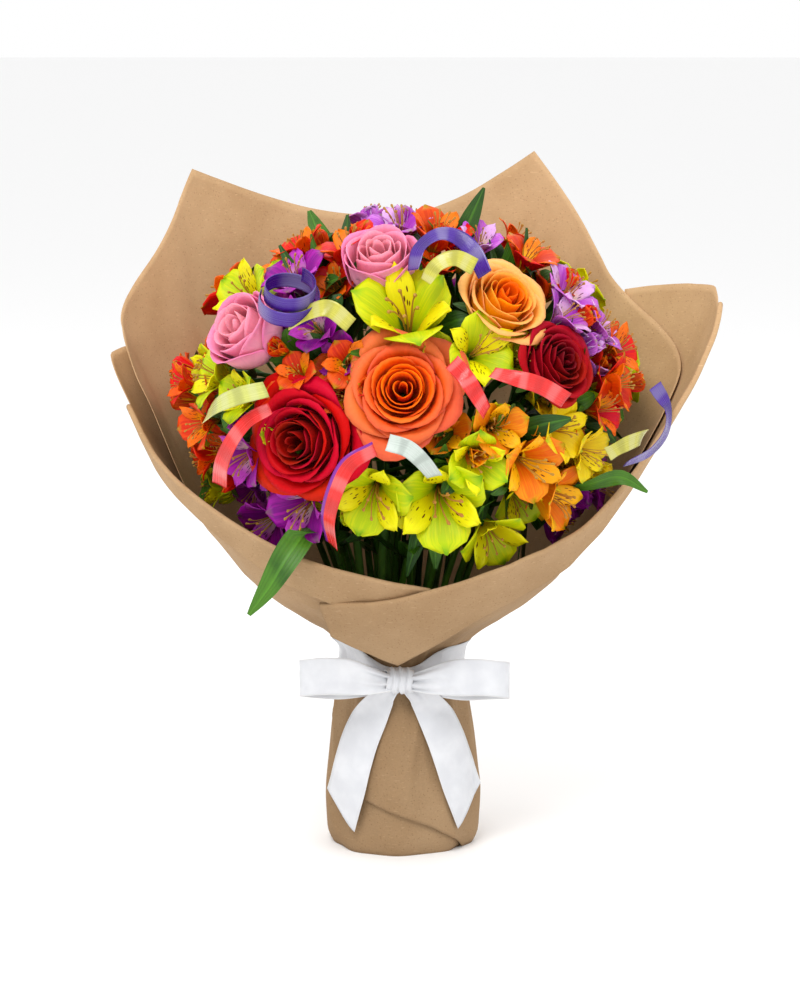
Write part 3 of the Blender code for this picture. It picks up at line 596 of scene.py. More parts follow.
# %% Rose stems and sepals
def rose_green(name, around, down, size, opening):
    centre, way = on_dome(around, down), facing(around, down)
    foot = centre - way * size * 0.00074
    line = stem_line(name + "_stem")
    neck = DOME_CENTRE + (on_dome(around, down) - DOME_CENTRE) * 0.56 + (0, 0, -0.008)
    path = smooth_path([*line, neck, foot - way * 0.008, foot], 3)
    radii = [0.0026] * (len(path) - 4) + [0.0028, 0.0040, 0.0052, 0.0050]
    parts = [tubes("stem", [(path, radii)], (rng.random(), 0, 0))]
    side = unit(np.cross(way, (0.3, 0.2, 1)))
    top = np.cross(way, side)
    for k in range(5):
        t = math.tau * k / 5 + around
        out = side * math.cos(t) + top * math.sin(t)
        bend = 0.35 if opening < 0.5 else 1.0
        spots = [foot - way * 0.002 + out * 0.002,
                 foot + way * (0.006 if opening > 0.5 else 0.010) + out * (0.009 + 0.004 * bend),
                 foot + way * (0.004 if opening > 0.5 else 0.022) + out * (0.019 + 0.005 * bend)]
        parts.append(leaf("sepal", spots, 0.0042, out + way * 0.2, columns=3, rows=6, fold=0.1))
    made = join(parts, name + "_greens")
    return finish(made, STEM, [name + "_stem"])


for name, (slot, around, down, size, opening) in ROSES.items():
    rose_green(name, around, down, size, opening)
print("rose stems made")

# %% [markdown]
# ## Alstroemerias
# A bloom is a funnel of six petals, three broad and three narrow, with six thin stamens that curve
# out of it. It is modelled once, with three small variations, and copied to each place. Two buds
# stand between the blooms of each stem.

# %% One alstroemeria bloom
def alstro_petal(turn, inner, seed, opening):
    wobble = random.Random(seed)
    long = (0.98 if inner else 1.0) * wobble.uniform(0.95, 1.05)
    wide = 0.20 if inner else 0.40
    wave, shift = wobble.uniform(0.012, 0.03), wobble.uniform(0, math.tau)
    first, last = math.radians(14), math.radians((58 if inner else 68) * opening + wobble.uniform(-5, 5))

    def shape(across, along):
        s = (across - 0.5) * 2
        steps, radius, depth = 8, 0.03 + (0.012 if inner else 0), -0.62
        for k in range(steps):          # walk outwards, leaning further at each step
            t = along * (k + 0.5) / steps
            lean = first + (last - first) * t ** 1.15 + max(0.0, t - 0.78) * 1.4 * opening
            radius += math.sin(lean) * along * long * 1.12 / steps
            depth += math.cos(lean) * along * long * 1.12 / steps
        body = 0.16 + 0.84 * math.sin(math.pi * 0.5 * min(1, along / 0.66)) ** 1.6
        if along > 0.66:
            body *= math.sqrt(max(0.0, 1 - ((along - 0.66) / 0.345) ** 2))
        width = wide * body
        cup = (0.10 if inner else 0.16) * s * s * width + 0.03 * (1 - abs(s)) ** 3
        depth += cup * 0.8 + wave * math.sin(s * 3.5 + along * 6 + shift) * along
        side = s * width
        pinch = 0.055 * (1 - abs(s)) ** 2 * max(0.0, (along - 0.88) / 0.12)
        radius += pinch
        c, n = math.cos(turn), math.sin(turn)
        return (radius * c - side * n, radius * n + side * c, depth)

    return grid("petal", 5, 8, shape, (wobble.random(), 1.0 if inner else 0.0, 0))


def alstro_bloom(name, seed, opening):
    petals = []
    for k in range(3):
        petals.append(alstro_petal(math.tau * k / 3, False, seed * 10 + k, opening))
        petals.append(alstro_petal(math.tau * (k + 0.5) / 3, True, seed * 10 + 5 + k, opening))
    made = join(petals, name)
    thicken(made, 0.014)
    lines = []
    for k in range(6):
        t = math.tau * k / 6 + seed
        c, n = math.cos(t), math.sin(t)
        spots = [(0.02 * c, 0.02 * n, -0.55), (0.07 * c, 0.07 * n, -0.10),
                 (0.15 * c + 0.05, 0.15 * n - 0.04, 0.24), (0.22 * c + 0.09, 0.22 * n - 0.07, 0.36)]
        path = smooth_path(spots, 2)
        lines.append((path + [path[-1] + np.array([0.012, -0.01, 0.03])],
                      [0.012] * (len(path) - 1) + [0.030, 0.018]))
    return join([made, tubes("stamens", lines, (0.5, 0, 1), 2)], name)


BLOOMS = [alstro_bloom(f"bloom_{seed}", seed, opening) for seed, opening in ((1, 1.0), (2, 0.86), (3, 1.1))]
BUD = alstro_bloom("bud", 4, 0.12)
print("alstroemeria blooms modelled")

# %% [markdown]
# Each stem carries its blooms on thin stalks that leave it at one place, with narrow leaves below
# them. The leaves fill the gaps under the flower heads.

# %% The alstroemeria stems
BLOOM_SCALE = 0.00140                     # length of a petal in metres, for each mm of a bloom's radius
FILLERS, BUDS = 4, 2                      # younger blooms and buds on each stem
OVER_PAPER = 0.178                        # leaves start above this height, clear of the gathered paper


def jostled(way, most):
    """A direction turned a little at random, as crowded blooms push each other aside."""
    return unit(way + np.array([rng.uniform(-most, most) for _ in range(3)]))


def head_on_stalk(model, centre, way, reach, neck, lift, steps, radii):
    """A copy of a bloom at its place, and the stalk from the neck of the stem to its foot."""
    head = copy_of(model, standing(centre, way, rng.uniform(0, 6), reach), rng.random())
    foot = centre - way * reach * 0.60
    stalk = smooth_path([neck, neck * 0.5 + foot * 0.5 + lift, foot], steps)
    thin, *ends = radii
    return head, (stalk, [thin] * (len(stalk) - len(ends)) + ends)


def alstro_heads(blooms, middle, neck):
    """The open blooms, then younger ones set a little deeper between them, then the buds."""
    made = []
    for around, down, size in blooms:
        centre = on_dome(around, down, rng.uniform(-2, 2))
        way = jostled(facing(around, down), 0.22)
        made.append(head_on_stalk(BLOOMS[rng.randrange(3)], centre, way, size * BLOOM_SCALE, neck,
                                  (middle - DOME_CENTRE) * 0.05, 4, (0.0014, 0.0019, 0.0024)))
    for number in range(FILLERS):
        around, down, size = blooms[number % len(blooms)]
        turn = rng.uniform(0, math.tau)
        wide = (size + 9) / 2.1
        spot_round = around + math.cos(turn) * wide * 0.95
        spot_down = min(126, max(8, down + math.sin(turn) * wide * 0.8))
        centre = on_dome(spot_round, spot_down, rng.uniform(-15, -7))
        way = jostled(facing(spot_round, spot_down), 0.35)
        made.append(head_on_stalk(BLOOMS[number % 2], centre, way, rng.uniform(0.019, 0.024), neck, 0.0,
                                  3, (0.0013,)))
    for _ in range(BUDS):
        around, down, _ = blooms[rng.randrange(len(blooms))]
        spot_round, spot_down = around + rng.uniform(-15, 15), down + rng.uniform(-13, 13)
        centre = on_dome(spot_round, spot_down, rng.uniform(-7, 1))
        made.append(head_on_stalk(BUD, centre, facing(spot_round, spot_down), rng.uniform(0.015, 0.019),
                                  neck, 0.0, 3, (0.0012, 0.0018)))
    return made


def alstro_leaves(blooms, middle, neck, path):
    """Leaves round the neck, leaves of the flower stalks, and low leaves at the front of the bunch."""
    made = []
    out = unit(middle - DOME_CENTRE)
    for k in range(7):
        turn = unit(np.cross(out, (math.cos(k * 2.4), math.sin(k * 2.4), 0.4)))
        length = rng.uniform(0.045, 0.070)
        start = neck + out * rng.uniform(-0.015, 0.015)
        bend = unit(out * 0.8 + turn * 0.75)
        spots = [start, start + bend * length * 0.5, start + bend * length * 0.85 + turn * length * 0.22]
        made.append(leaf("leaf", spots, rng.uniform(0.0055, 0.0085), out + turn * -0.5))
    for k in range(6):
        around, down, _ = blooms[k % len(blooms)]
        turn = k * 1.9 + around
        inside = on_dome(around + 6 * math.cos(turn), down + 6 * math.sin(turn), -26)
        tip_down = min(136, down + 15 * math.sin(turn))
        outside = on_dome(around + 19 * math.cos(turn), tip_down, rng.uniform(-9, 0))
        away = unit(outside - DOME_CENTRE)
        bend = inside * 0.45 + outside * 0.55 + away * 0.006
        made.append(leaf("leaf", [inside, bend, outside], rng.uniform(0.0050, 0.0078), away))
    if middle[1] >= DOME_CENTRE[1] - 0.02:
        return made
    for k in range(5):
        above = [spot for spot in path if spot[2] > OVER_PAPER] or [path[-1]]
        start = above[(k * 2) % len(above)]
        swing = rng.uniform(-0.9, 0.9)
        ahead = unit((math.sin(swing) + middle[0] * 3, -math.cos(swing), rng.uniform(0.35, 0.75)))
        length = rng.uniform(0.040, 0.058)
        spots = [start, start + ahead * length * 0.6 + (0, 0, 0.004), start + ahead * length + (0, 0, -0.006)]
        made.append(leaf("leaf", spots, rng.uniform(0.0060, 0.0090), (0, -0.5, 0.9), wave=0.12))
    return made


def alstroemeria(name, slot, blooms):
    middle = np.mean([on_dome(a, d) for a, d, _ in blooms], axis=0)
    neck = DOME_CENTRE + (middle - DOME_CENTRE) * 0.58 + (0, 0, -0.006)
    path = smooth_path([*stem_line(name), neck], 3)
    heads = alstro_heads(blooms, middle, neck)
    lines = [(path, [0.0021] * len(path)), *(line for _, line in heads)]
    greens = [tubes("stem", lines, (rng.random(), 0, 0)), *alstro_leaves(blooms, middle, neck, path)]
    finish(join([head for head, _ in heads], name + "_petals"), ALSTRO_PAINTS[slot], [name])
    finish(join(greens, name + "_greens"), LEAF)


for name, (slot, *blooms) in ALSTROEMERIAS.items():
    alstroemeria(name, slot, blooms)
for model in (*BLOOMS, BUD):
    bpy.data.objects.remove(model, do_unlink=True)
print("alstroemeria stems made")

# %% [markdown]
# ## Leaf sprigs
# Four sprigs end in a long leaf that shows between the flowers. One hangs over the front edge of
# the paper on the left.

# %% The sprigs
SPRIGS = {
    "sprig_front_left": (((-44, -60, 207), (-53, -90, 214), (-64, -108, 203), (-76, -113, 184),
                          (-88, -113, 167)), 8.5),
    "sprig_top": (((30, -30, 356), (37, -33, 378), (43, -33, 393), (50, -32, 409)), 6.0),
    "sprig_middle": (((58, -77, 266), (72, -95, 273), (85, -103, 278), (99, -103, 281)), 7.0),
    "sprig_low_right": (((84, -40, 226), (110, -57, 234), (130, -63, 240), (147, -64, 231)), 5.5),
}
for name, (midrib, half) in SPRIGS.items():
    spots = [np.array(p) / 1000 + (*AXIS_SHIFT, 0) for p in midrib]
    line = stem_line(name)
    path = smooth_path([*line, spots[0]], 4)
    out = unit(spots[-1] - DOME_CENTRE)
    parts = [tubes("stem", [(path, [0.0014] * len(path))], (rng.random(), 0, 0)),
             leaf("leaf", spots, half / 1000, out + (0, -0.4, 0.2), rows=16, columns=6)]
    finish(join(parts, name + "_leaf"), LEAF, [name])
print("sprigs made")

# %% [markdown]
# ## Kraft paper
# Three sheets of brown kraft paper go round the bunch: one stands high behind it, and two cross in
# front, where their top edges are folded over outwards. The paper is gathered into pleats at the
# waist, opens like a trumpet above it and makes a round foot below it. Kraft paper is made of coarse
# unbleached fibres, so it is matt, a little mottled, and full of short dark and pale specks.
# The paper is also painted darker at the foot and lighter towards the top, as painted shade and light.

# %% Kraft paper finish
def kraft_paint():
    paint = Paint("kraft", Roughness=0.82, Specular_IOR_Level=0.25)
    cloud = paint.noise(16.0, detail=5.0, rough=0.6)
    grain = paint.noise(900.0, detail=3.0, rough=0.7)
    fibres = paint.noise(1.0, paint.place(scale=(260, 260, 1500)), 2.0)
    cross = paint.noise(1.0, paint.place(scale=(1300, 1300, 240)), 2.0)
    speck = paint.node("ShaderNodeTexVoronoi", {"feature": "F1"}, {"Vector": paint.place(), "Scale": 420.0})
    colour = paint.mix(paint.between(cloud, 0.30, 0.72), (0.405, 0.250, 0.125), (0.500, 0.325, 0.175))
    colour = paint.mix(paint.between(fibres, 0.60, 0.78) * 0.45, colour, (0.66, 0.45, 0.26))
    colour = paint.mix(paint.between(cross, 0.62, 0.80) * 0.40, colour, (0.34, 0.19, 0.085))
    colour = paint.mix((1 - paint.between(speck, 0.10, 0.24)) * 0.42, colour, (0.24, 0.125, 0.055))
    # Painted shade and painted light: the paper is darker at the foot and lighter towards the top, as if lit
    # from above.
    height = paint.node("ShaderNodeSeparateXYZ", {}, {0: paint.place()}, 2)
    colour = paint.toned(colour, 0.56 + grain * 0.22 + paint.between(height, 0.08, 0.34) * 0.50)
    paint.set(Base_Color=colour, Roughness=0.74 + grain * 0.2,
              Normal=paint.bump(grain * 0.5 + fibres * 0.5 + cross * 0.4 + cloud * 1.5, 0.30, 0.0004))
    return paint


KRAFT = kraft_paint()

# %% [markdown]
# Each sheet is drawn by direction (0 at the front, 90 at the right) and height. The tables repeat
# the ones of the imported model: the radius of the wall at each level, the top edge of each sheet, and
# how many layers out it lies. Creases are pushed into all the sheets alike, so they never cross.

# %% Where the paper runs
LEVELS = [0, .03, .075, .105, .120, .132, .145, .163, .182, .205, .232, .262, .292, .322, .352, .392, .43]
SPLAYED = [.0430, .0435, .0395, .0345, .0325, .0380, .0600, .0860, .1020, .1190, .1370, .1570, .1760,
           .1890, .1950, .1950, .1950]
UPRIGHT = [.0430, .0435, .0395, .0345, .0325, .0380, .0600, .0860, .1020, .1180, .1320, .1420, .1500,
           .1560, .1610, .1680, .1740]
DEPTH, PITCH = 0.93, 0.0020
# name: first and last direction, top edge in mm, layer, inward lean in mm, and the true corners
SHEETS = {
    "paper_back": (80, 280, ((80, 245), (100, 296), (120, 336), (136, 377), (150, 420), (160, 400),
                             (170, 383), (180, 376), (196, 379), (210, 390), (230, 411), (240, 374),
                             (250, 345), (260, 322), (280, 287)),
                   ((80, 1), (150, 1), (230, 0), (280, 0)), ((235, 0), (262, 15), (280, 15)),
                   (80, 150, 230, 280)),
    "paper_left": (-120, 10, ((-120, 302), (-110, 306), (-100, 302), (-90, 262), (-80, 250), (-71, 240),
                              (-65, 235), (-42, 207), (-28, 195), (-12, 187), (10, 178)),
                   ((-120, 1), (10, 1)), ((-120, 0), (10, 0)), (-120, -101, 10)),
    "paper_right": (-29, 120, ((-40, 165), (-5, 171), (8, 178), (26, 187), (52, 204), (61, 211), (80, 262),
                               (90, 328), (100, 345), (110, 343), (120, 337)),
                    ((-40, 2.25), (120, 2.25)), ((-40, 0), (120, 0)), (-29, 98, 120)),
}
# The folded-over band: how far down the outside it reaches, in mm, and how straight it hangs (0 to 1).
FLAPS = {
    "paper_left": (((-92, 4), (-84, 10), (-72, 19), (-58, 26), (-40, 29), (10, 30)), ((-92, 0.1), (10, 0.3))),
    "paper_right": (((-29, 27), (-20, 40), (-1, 60), (12, 52), (28, 40), (45, 34), (60, 30), (76, 20),
                     (86, 11), (94, 4)), ((-29, 0.55), (0, 0.62), (30, 0.5), (60, 0.2), (94, 0.1))),
}
FOLD = 0.0014                            # radius of the fold
HEIGHTS = np.linspace(0, 0.44, 441)


def eased(radii):
    """The radius at each millimetre of height, with the corners between the levels rounded."""
    window = HEIGHTS[:, None] + np.linspace(-0.007, 0.007, 9)
    return np.interp(np.clip(window, 0, 0.43), LEVELS, radii).mean(axis=1)


EASED = eased(SPLAYED), eased(UPRIGHT)
pleat_rng = random.Random(8)
PLEAT_COUNT = 22
# direction of the middle and half width in degrees, strength, and slant in degrees for each 100 mm
PLEATS = [(-180 + 360 * (k + pleat_rng.uniform(0.15, 0.85)) / PLEAT_COUNT, pleat_rng.uniform(4.5, 9.5),
           pleat_rng.choice((-1, 1, 1)) * pleat_rng.uniform(0.6, 1.4), pleat_rng.uniform(-30, 30))
          for k in range(PLEAT_COUNT)]


def by_direction(pairs, degrees):
    return float(np.interp(degrees, [p[0] for p in pairs], [p[1] for p in pairs]))


def creases(degrees, heights, radii):
    """How far the paper is pushed out by its pleats, creases and soft waves, at one direction."""
    turn, push = math.radians(degrees), np.zeros(len(heights))
    upper = np.clip((0.235 - heights) / 0.11, 0, 1) * (heights > 0.118)
    lower = np.clip((heights - 0.012) / 0.085, 0, 1) * (heights <= 0.118)
    for middle, wide, strength, slant in PLEATS:
        away = (degrees - middle - slant * (heights - 0.118) / 0.1 + 180) % 360 - 180
        ridge = np.clip(1 - abs(away) / (wide * (0.75 + 2.2 * abs(heights - 0.118))), 0, 1) ** 1.25
        push += ridge * strength * 0.00135 * (upper ** 1.5 + lower ** 1.3)
    for i, (height, radius) in enumerate(zip(heights, radii)):
        x, y = radius * math.sin(turn), radius * math.cos(turn)
        near = smooth_step(height, 0.25, 0.15)
        sharp = abs(noise.noise(Vector((x * 34 + 3, y * 34, height * 20)))) - 0.16
        broad = noise.noise(Vector((x * 9, y * 9 + 7, height * 6)))
        push[i] += -0.0030 * sharp * (0.25 + near) + 0.0045 * broad * smooth_step(height, 0.14, 0.26)
    return push


def wall_line(name, degrees):
    """The radius of a sheet at each height of HEIGHTS, in one direction."""
    _, _, _, layer, lean, _ = SHEETS[name]
    turn = abs((degrees + 180) % 360 - 180)
    back = smooth_step(turn, 98, 126)
    radii = EASED[0] * (1 - back) + EASED[1] * back
    pleat = math.cos(math.radians(degrees) * 9) * 0.0011 + math.cos(math.radians(degrees) * 4 + 1) * 0.0009
    fade = np.array([smooth_step(h, 0.150, 0.06) * smooth_step(h, -0.05, 0.02) for h in HEIGHTS])
    inward = np.array([smooth_step(h, 0.20, 0.30) for h in HEIGHTS]) * by_direction(lean, degrees) / 1000
    tuck = 0.0035 * np.clip(1 - HEIGHTS / 0.011, 0, 1) ** 2
    radii = radii + pleat * fade - inward - tuck + 0.0006 + by_direction(layer, degrees) * PITCH
    if name == "paper_right":            # it lies over the folded edge of the left sheet
        over = smooth_step(degrees, 34, 6)
        radii = radii + 0.0032 * over * np.array([smooth_step(h, 0.138, 0.160) for h in HEIGHTS])
    return radii + creases(degrees, HEIGHTS, EASED[0])


def at(degrees, radius, height):
    turn = math.radians(degrees)
    return np.array([radius * math.sin(turn), -radius * math.cos(turn) * DEPTH, height]) + (*AXIS_SHIFT, 0)


def top_edge(name, degrees):
    """The height of the top edge. It is cut straight between the corners, so only those stay sharp."""
    _, _, tops, _, _, corners = SHEETS[name]
    reach = min(7, min(abs(degrees - c) for c in corners))
    return float(np.mean([by_direction(tops, degrees + reach * k / 4) for k in range(-4, 5)])) / 1000


def bottom_edge(name, degrees):
    """The outer sheet is cut on a slant at the foot, so a diagonal edge shows in front."""
    if name != "paper_right":
        return 0.0
    return float(np.interp(degrees, (-29, -12, 25, 62), (0.036, 0.031, 0.018, 0.0)))


print("pleats:", len(PLEATS))

# %% [markdown]
# A sheet is a fine grid up to its top edge. Where the edge is folded over, a second grid starts on
# the same edge, turns round the fold and lies down the outside. The two are merged along the edge,
# and the sheet gets its thickness last.

# %% Make the sheets
def paper_wall(name, first, last, step, rows):
    def shape(across, along):
        degrees = first + (last - first) * across
        key = round(degrees, 3)
        if key not in lines:
            lines[key] = wall_line(name, degrees)
        low, high = bottom_edge(name, degrees), top_edge(name, min(degrees, SHEETS[name][1]))
        if degrees > SHEETS[name][1]:
            high -= 0.070 * smooth_step(degrees, SHEETS[name][1], SHEETS[name][1] + 12)
        height = low + (high - low) * along
        return at(degrees, float(np.interp(height, HEIGHTS, lines[key])), height)

    lines = {}
    return grid(name, int((last - first) / step), rows, shape)


def paper_flap(name, step, rows):
    reaches, straights = FLAPS[name]
    first, last = reaches[0][0], reaches[-1][0]
    half_turn = math.pi * FOLD
    lines = {}

    def path(degrees):
        """The wall's own way down from the top edge: (radius, height) and the outward normal, by length."""
        high = top_edge(name, degrees)
        heights = high - np.linspace(0, 0.075, 76)
        radii = np.interp(heights, HEIGHTS, wall_line(name, degrees))
        spots = np.stack([radii, heights], axis=1)
        step_on = np.gradient(spots, axis=0)
        step_on /= np.linalg.norm(step_on, axis=1)[:, None]
        normals = np.stack([-step_on[:, 1], step_on[:, 0]], axis=1)
        lengths = np.concatenate([[0], np.cumsum(np.linalg.norm(np.diff(spots, axis=0), axis=1))])
        return spots, normals, lengths, step_on[:8].mean(axis=0)

    def shape(across, along):
        degrees = first + (last - first) * across
        key = round(degrees, 3)
        if key not in lines:
            lines[key] = path(degrees)
        spots, normals, lengths, down = lines[key]
        reach = by_direction(reaches, degrees) / 1000
        straight = by_direction(straights, degrees)
        s = along * (reach + half_turn)
        out = normals[:8].mean(axis=0)
        out = out / np.linalg.norm(out)
        if s < half_turn:
            turn = s / FOLD
            spot = spots[0] + out * FOLD * (1 - math.cos(turn)) - down * FOLD * math.sin(turn)
            return at(degrees, *spot)
        s -= half_turn
        follow = np.array([np.interp(s, lengths, spots[:, 0]), np.interp(s, lengths, spots[:, 1])])
        push = np.array([np.interp(s, lengths, normals[:, 0]), np.interp(s, lengths, normals[:, 1])])
        hang = np.array([-math.sin(math.radians(30)), -math.cos(math.radians(30))]) * s
        spot = (follow + push * 2 * FOLD) * (1 - straight) + (spots[0] + out * 2 * FOLD + hang) * straight
        lift = (0.0030 + 0.0016 * math.sin(degrees * 0.13)) * along ** 2 * min(1, reach / 0.02)
        return at(degrees, spot[0] + lift, spot[1])

    return grid(name, int((last - first) / step), rows, shape)


def paper_sheet(name, flat, step=1.0, rows=72):
    first, last = SHEETS[name][:2]
    parts = [paper_wall(name, first, last, step, rows)]
    if name == "paper_left":             # it goes on under the slanted edge of the right sheet
        parts.append(paper_wall(name, last, 72, step * 2, rows))
    if name in FLAPS:
        parts.append(paper_flap(name, step, 26))
    made = join(parts, name + "_sheet")
    apply(made, "WELD", merge_threshold=0.00015)
    only(made)
    bpy.ops.object.mode_set(mode="EDIT")
    bpy.ops.mesh.select_all(action="SELECT")
    bpy.ops.mesh.normals_make_consistent(inside=False)
    bpy.ops.object.mode_set(mode="OBJECT")
    area = sum(polygon.area for polygon in made.data.polygons)
    thicken(made, PAPER_THICKNESS)
    finish(made, KRAFT, [name])
    print(made.name, "shown area", round(area, 4), "flat", flat, "triangles", len(made.data.polygons) * 2)
    return made


paper_sheet("paper_back", (0.38, 0.42))
paper_sheet("paper_left", (0.26, 0.25))
paper_sheet("paper_right", (0.27, 0.26))

# %% [markdown]
# ## Satin ribbon
# A white satin ribbon 22 mm wide goes once round the waist and is tied in front in a bow with two
# loops and two tails cut on a slant. Satin is a close weave with a soft gloss: its threads run the
# long way, so the surface gets very fine lines along the ribbon, and each edge has a firmer border.

# %% Satin finish
def satin_paint():
    paint = Paint("satin", Roughness=0.32, Sheen_Weight=0.35, Sheen_Roughness=0.3, Specular_IOR_Level=0.6,
                  Anisotropic=0.5, Coat_Weight=0.15, Coat_Roughness=0.3)
    across, along = paint.across()
    threads = paint.wave(across * 75)
    weave = paint.wave(along * 380)
    cloud = paint.noise(60.0, detail=3.0)
    side = (across - 0.5) * 2
    border = paint.between(side * side, 0.86, 0.93)
    colour = paint.mix(paint.between(cloud, 0.3, 0.75), (0.60, 0.61, 0.64), (0.70, 0.71, 0.735))
    colour = paint.mix(border * 0.5, colour, (0.80, 0.79, 0.78))
    paint.set(Base_Color=colour, Roughness=0.28 + cloud * 0.12 + border * 0.12,
              Normal=paint.bump(threads * 0.5 + weave * 0.25 + border * 1.5 + cloud * 0.8, 0.25, 0.00025))
    return paint


SATIN = satin_paint()
WAIST = 0.1125                          # height of the knot
KNOT_Y = -(0.0325 + 0.0111) * DEPTH - 0.0075

# %% [markdown]
# The band follows the outermost paper all the way round. It bridges the pleats as a real ribbon
# does, dips towards the knot in front, and is drawn together there.

# %% The band round the waist
OUTER_LAYER = ((-180, 0.5), (-125, 0.6), (-118, 1), (-36, 1), (-27, 2.25), (122, 2.25), (128, 1), (180, 0.5))
waist_rows = (HEIGHTS > 0.09) & (HEIGHTS < 0.14)
waist_radii = []
for degrees in range(-180, 180, 4):
    push = creases(degrees, HEIGHTS[waist_rows], EASED[0][waist_rows])
    waist_radii.append(EASED[0][waist_rows] + push + by_direction(OUTER_LAYER, degrees) * PITCH)
waist_radii = np.maximum.reduce([np.roll(waist_radii, k, axis=0) for k in (-2, -1, 0, 1, 2)])


def band_shape(across, along):
    degrees = -180 + 360 * across
    near = smooth_step(abs(degrees), 46, 6)
    half = 0.0112 - 0.0052 * near
    middle = 0.1183 - 0.0058 * near
    height = middle + half * (along - 0.5) * 2
    columns = [np.interp(height, HEIGHTS[waist_rows], row) for row in waist_radii]
    place = (across * len(columns)) % len(columns)
    i = int(place)
    radius = columns[i] * (i + 1 - place) + columns[(i + 1) % len(columns)] * (place - i)
    fold = 0.0007 * math.sin(along * 10 + degrees * 0.02) * (0.3 + 0.7 * smooth_step(abs(degrees), 90, 10))
    return at(degrees, radius + 0.0017 + fold + 0.0022 * near, height)


band = grid("satin_band_ribbon", 120, 10, band_shape)
apply(band, "WELD", merge_threshold=0.00008)
thicken(band, SATIN_THICKNESS)
finish(band, SATIN, ["satin_band"])
print("band made")

# %% [markdown]
# A loop leaves the knot pinched into pleats, opens to the full width of the ribbon, turns round and
# comes back behind, a little lower. The two loops are the same piece, mirrored and slightly changed.

# %% The loops of the bow
def between_rows(table, along):
    """The row of a table at a share of its length, with the rows joined by a smooth curve."""
    place = along * (len(table) - 1)
    i = min(int(place), len(table) - 2)
    rows = (np.array(table[min(max(i + k, 0), len(table) - 1)]) for k in (-1, 0, 1, 2))
    return spline(*rows, place - i)


# outwards from the knot, forwards of it, height of the middle, half width; all in mm
LOOP = ((3.0, -3.5, 112.5, 4.6), (9.0, -6.0, 112.9, 5.8), (18.0, -10.0, 115.0, 8.6),
        (30.0, -12.5, 117.6, 11.2), (44.0, -12.5, 118.4, 11.4), (55.5, -9.5, 117.2, 11.4),
        (60.5, -3.0, 115.4, 11.4), (59.0, 3.0, 113.6, 11.4), (50.0, 6.5, 111.6, 11.2),
        (36.0, 7.2, 110.0, 10.8), (22.0, 5.0, 109.8, 8.6), (11.0, 1.5, 111.0, 6.0), (4.0, -0.5, 112.0, 4.6))


def loop_of(side, name, longer, droop):
    def shape(across, along):
        out, front, height, half = between_rows(LOOP, along)
        s = (across - 0.5) * 2
        gather = smooth_step(out, 34, 5)
        pleat = gather * (1.5 * math.sin(s * 7.2 + side * 0.8 + along * 3) + 0.5 * math.sin(s * 15 + 1))
        belly = -1.2 * (1 - s * s) * (1 - gather) * (1 if along < 0.5 else -0.6)
        ripple = 0.6 * math.sin(out * 0.16 + s * 2.0 + side) * (1 - gather)
        sag = -droop * (out / 60) ** 2
        return np.array([side * (out * longer) + AXIS_SHIFT[0] * 1000,
                         KNOT_Y * 1000 + front + pleat + belly + ripple + AXIS_SHIFT[1] * 1000,
                         height + half * s + sag]) / 1000

    made = grid(name + "_ribbon", 16, 72, shape)
    thicken(made, SATIN_THICKNESS)
    finish(made, SATIN, [name])


loop_of(-1, "satin_loop_left", 1.0, 0.6)
loop_of(1, "satin_loop_right", 1.09, 2.0)
print("loops made")

# %% [markdown]
# The tails come out under the knot, widen from their pleats and lie over the round foot of the
# paper, curved with it. Each is cut on a slant, with the point towards the middle.

# %% The tails of the bow
# sideways from the middle, height, half width in mm
TAIL_LEFT = ((-2.5, 111.0, 4.0), (-7.0, 106.0, 5.6), (-11.5, 100.5, 8.2), (-17.5, 89.0, 10.2),
             (-24.0, 74.0, 10.9), (-28.6, 58.5, 11.0), (-32.2, 43.0, 11.0), (-35.5, 30.5, 11.0),
             (-38.6, 18.0, 11.0))
TAIL_RIGHT = ((2.5, 111.0, 4.0), (8.0, 106.5, 5.8), (14.0, 101.0, 8.6), (21.0, 89.0, 10.4),
              (27.6, 74.0, 11.0), (32.6, 59.0, 11.0), (36.8, 45.5, 11.0), (41.4, 32.5, 11.0),
              (46.0, 19.5, 11.0))


def foot_front(x, height):
    """Where the front of the paper foot is, at a place to the side and a height."""
    radius = float(np.interp(height, HEIGHTS, EASED[0])) + 2.25 * PITCH + 0.0022
    return -DEPTH * math.sqrt(max(radius ** 2 - min(abs(x), radius * 0.93) ** 2, 0))


def tail_of(side, name, table):
    def shape(across, along):
        s = (across - 0.5) * 2
        slant = 0.5 - 0.5 * s * side                       # 1 at the point, which is towards the middle
        x, height, half = between_rows(table, along * (0.83 + 0.17 * slant))
        after = between_rows(table, min(1, along * (0.83 + 0.17 * slant) + 0.01))
        before = between_rows(table, max(0, along * (0.83 + 0.17 * slant) - 0.01))
        way = unit((after - before)[:2])
        x, height = x - way[1] * half * s, height + way[0] * half * s
        gather = smooth_step(height, 88, 108)
        pleat = 1.3 * gather * math.sin(s * 6.5 + side) + 0.5 * math.sin(height * 0.11 + s * 1.4 + side)
        rest = foot_front(x / 1000, height / 1000) * 1000 - 1.1
        front = rest * (1 - gather) + (KNOT_Y * 1000 + 1.5 - 2.0 * s * s) * gather
        front = min(front, rest) + pleat * 0.7 - 0.9
        return np.array([x + AXIS_SHIFT[0] * 1000, front + AXIS_SHIFT[1] * 1000, height]) / 1000

    made = grid(name + "_ribbon", 14, 64, shape)
    thicken(made, SATIN_THICKNESS)
    finish(made, SATIN, [name])


tail_of(-1, "satin_tail_left", TAIL_LEFT)
tail_of(1, "satin_tail_right", TAIL_RIGHT)
print("tails made")

# %% [markdown]
# The knot is one more turn of the same ribbon, drawn tight over the middle, so it is full of
# upright pleats.

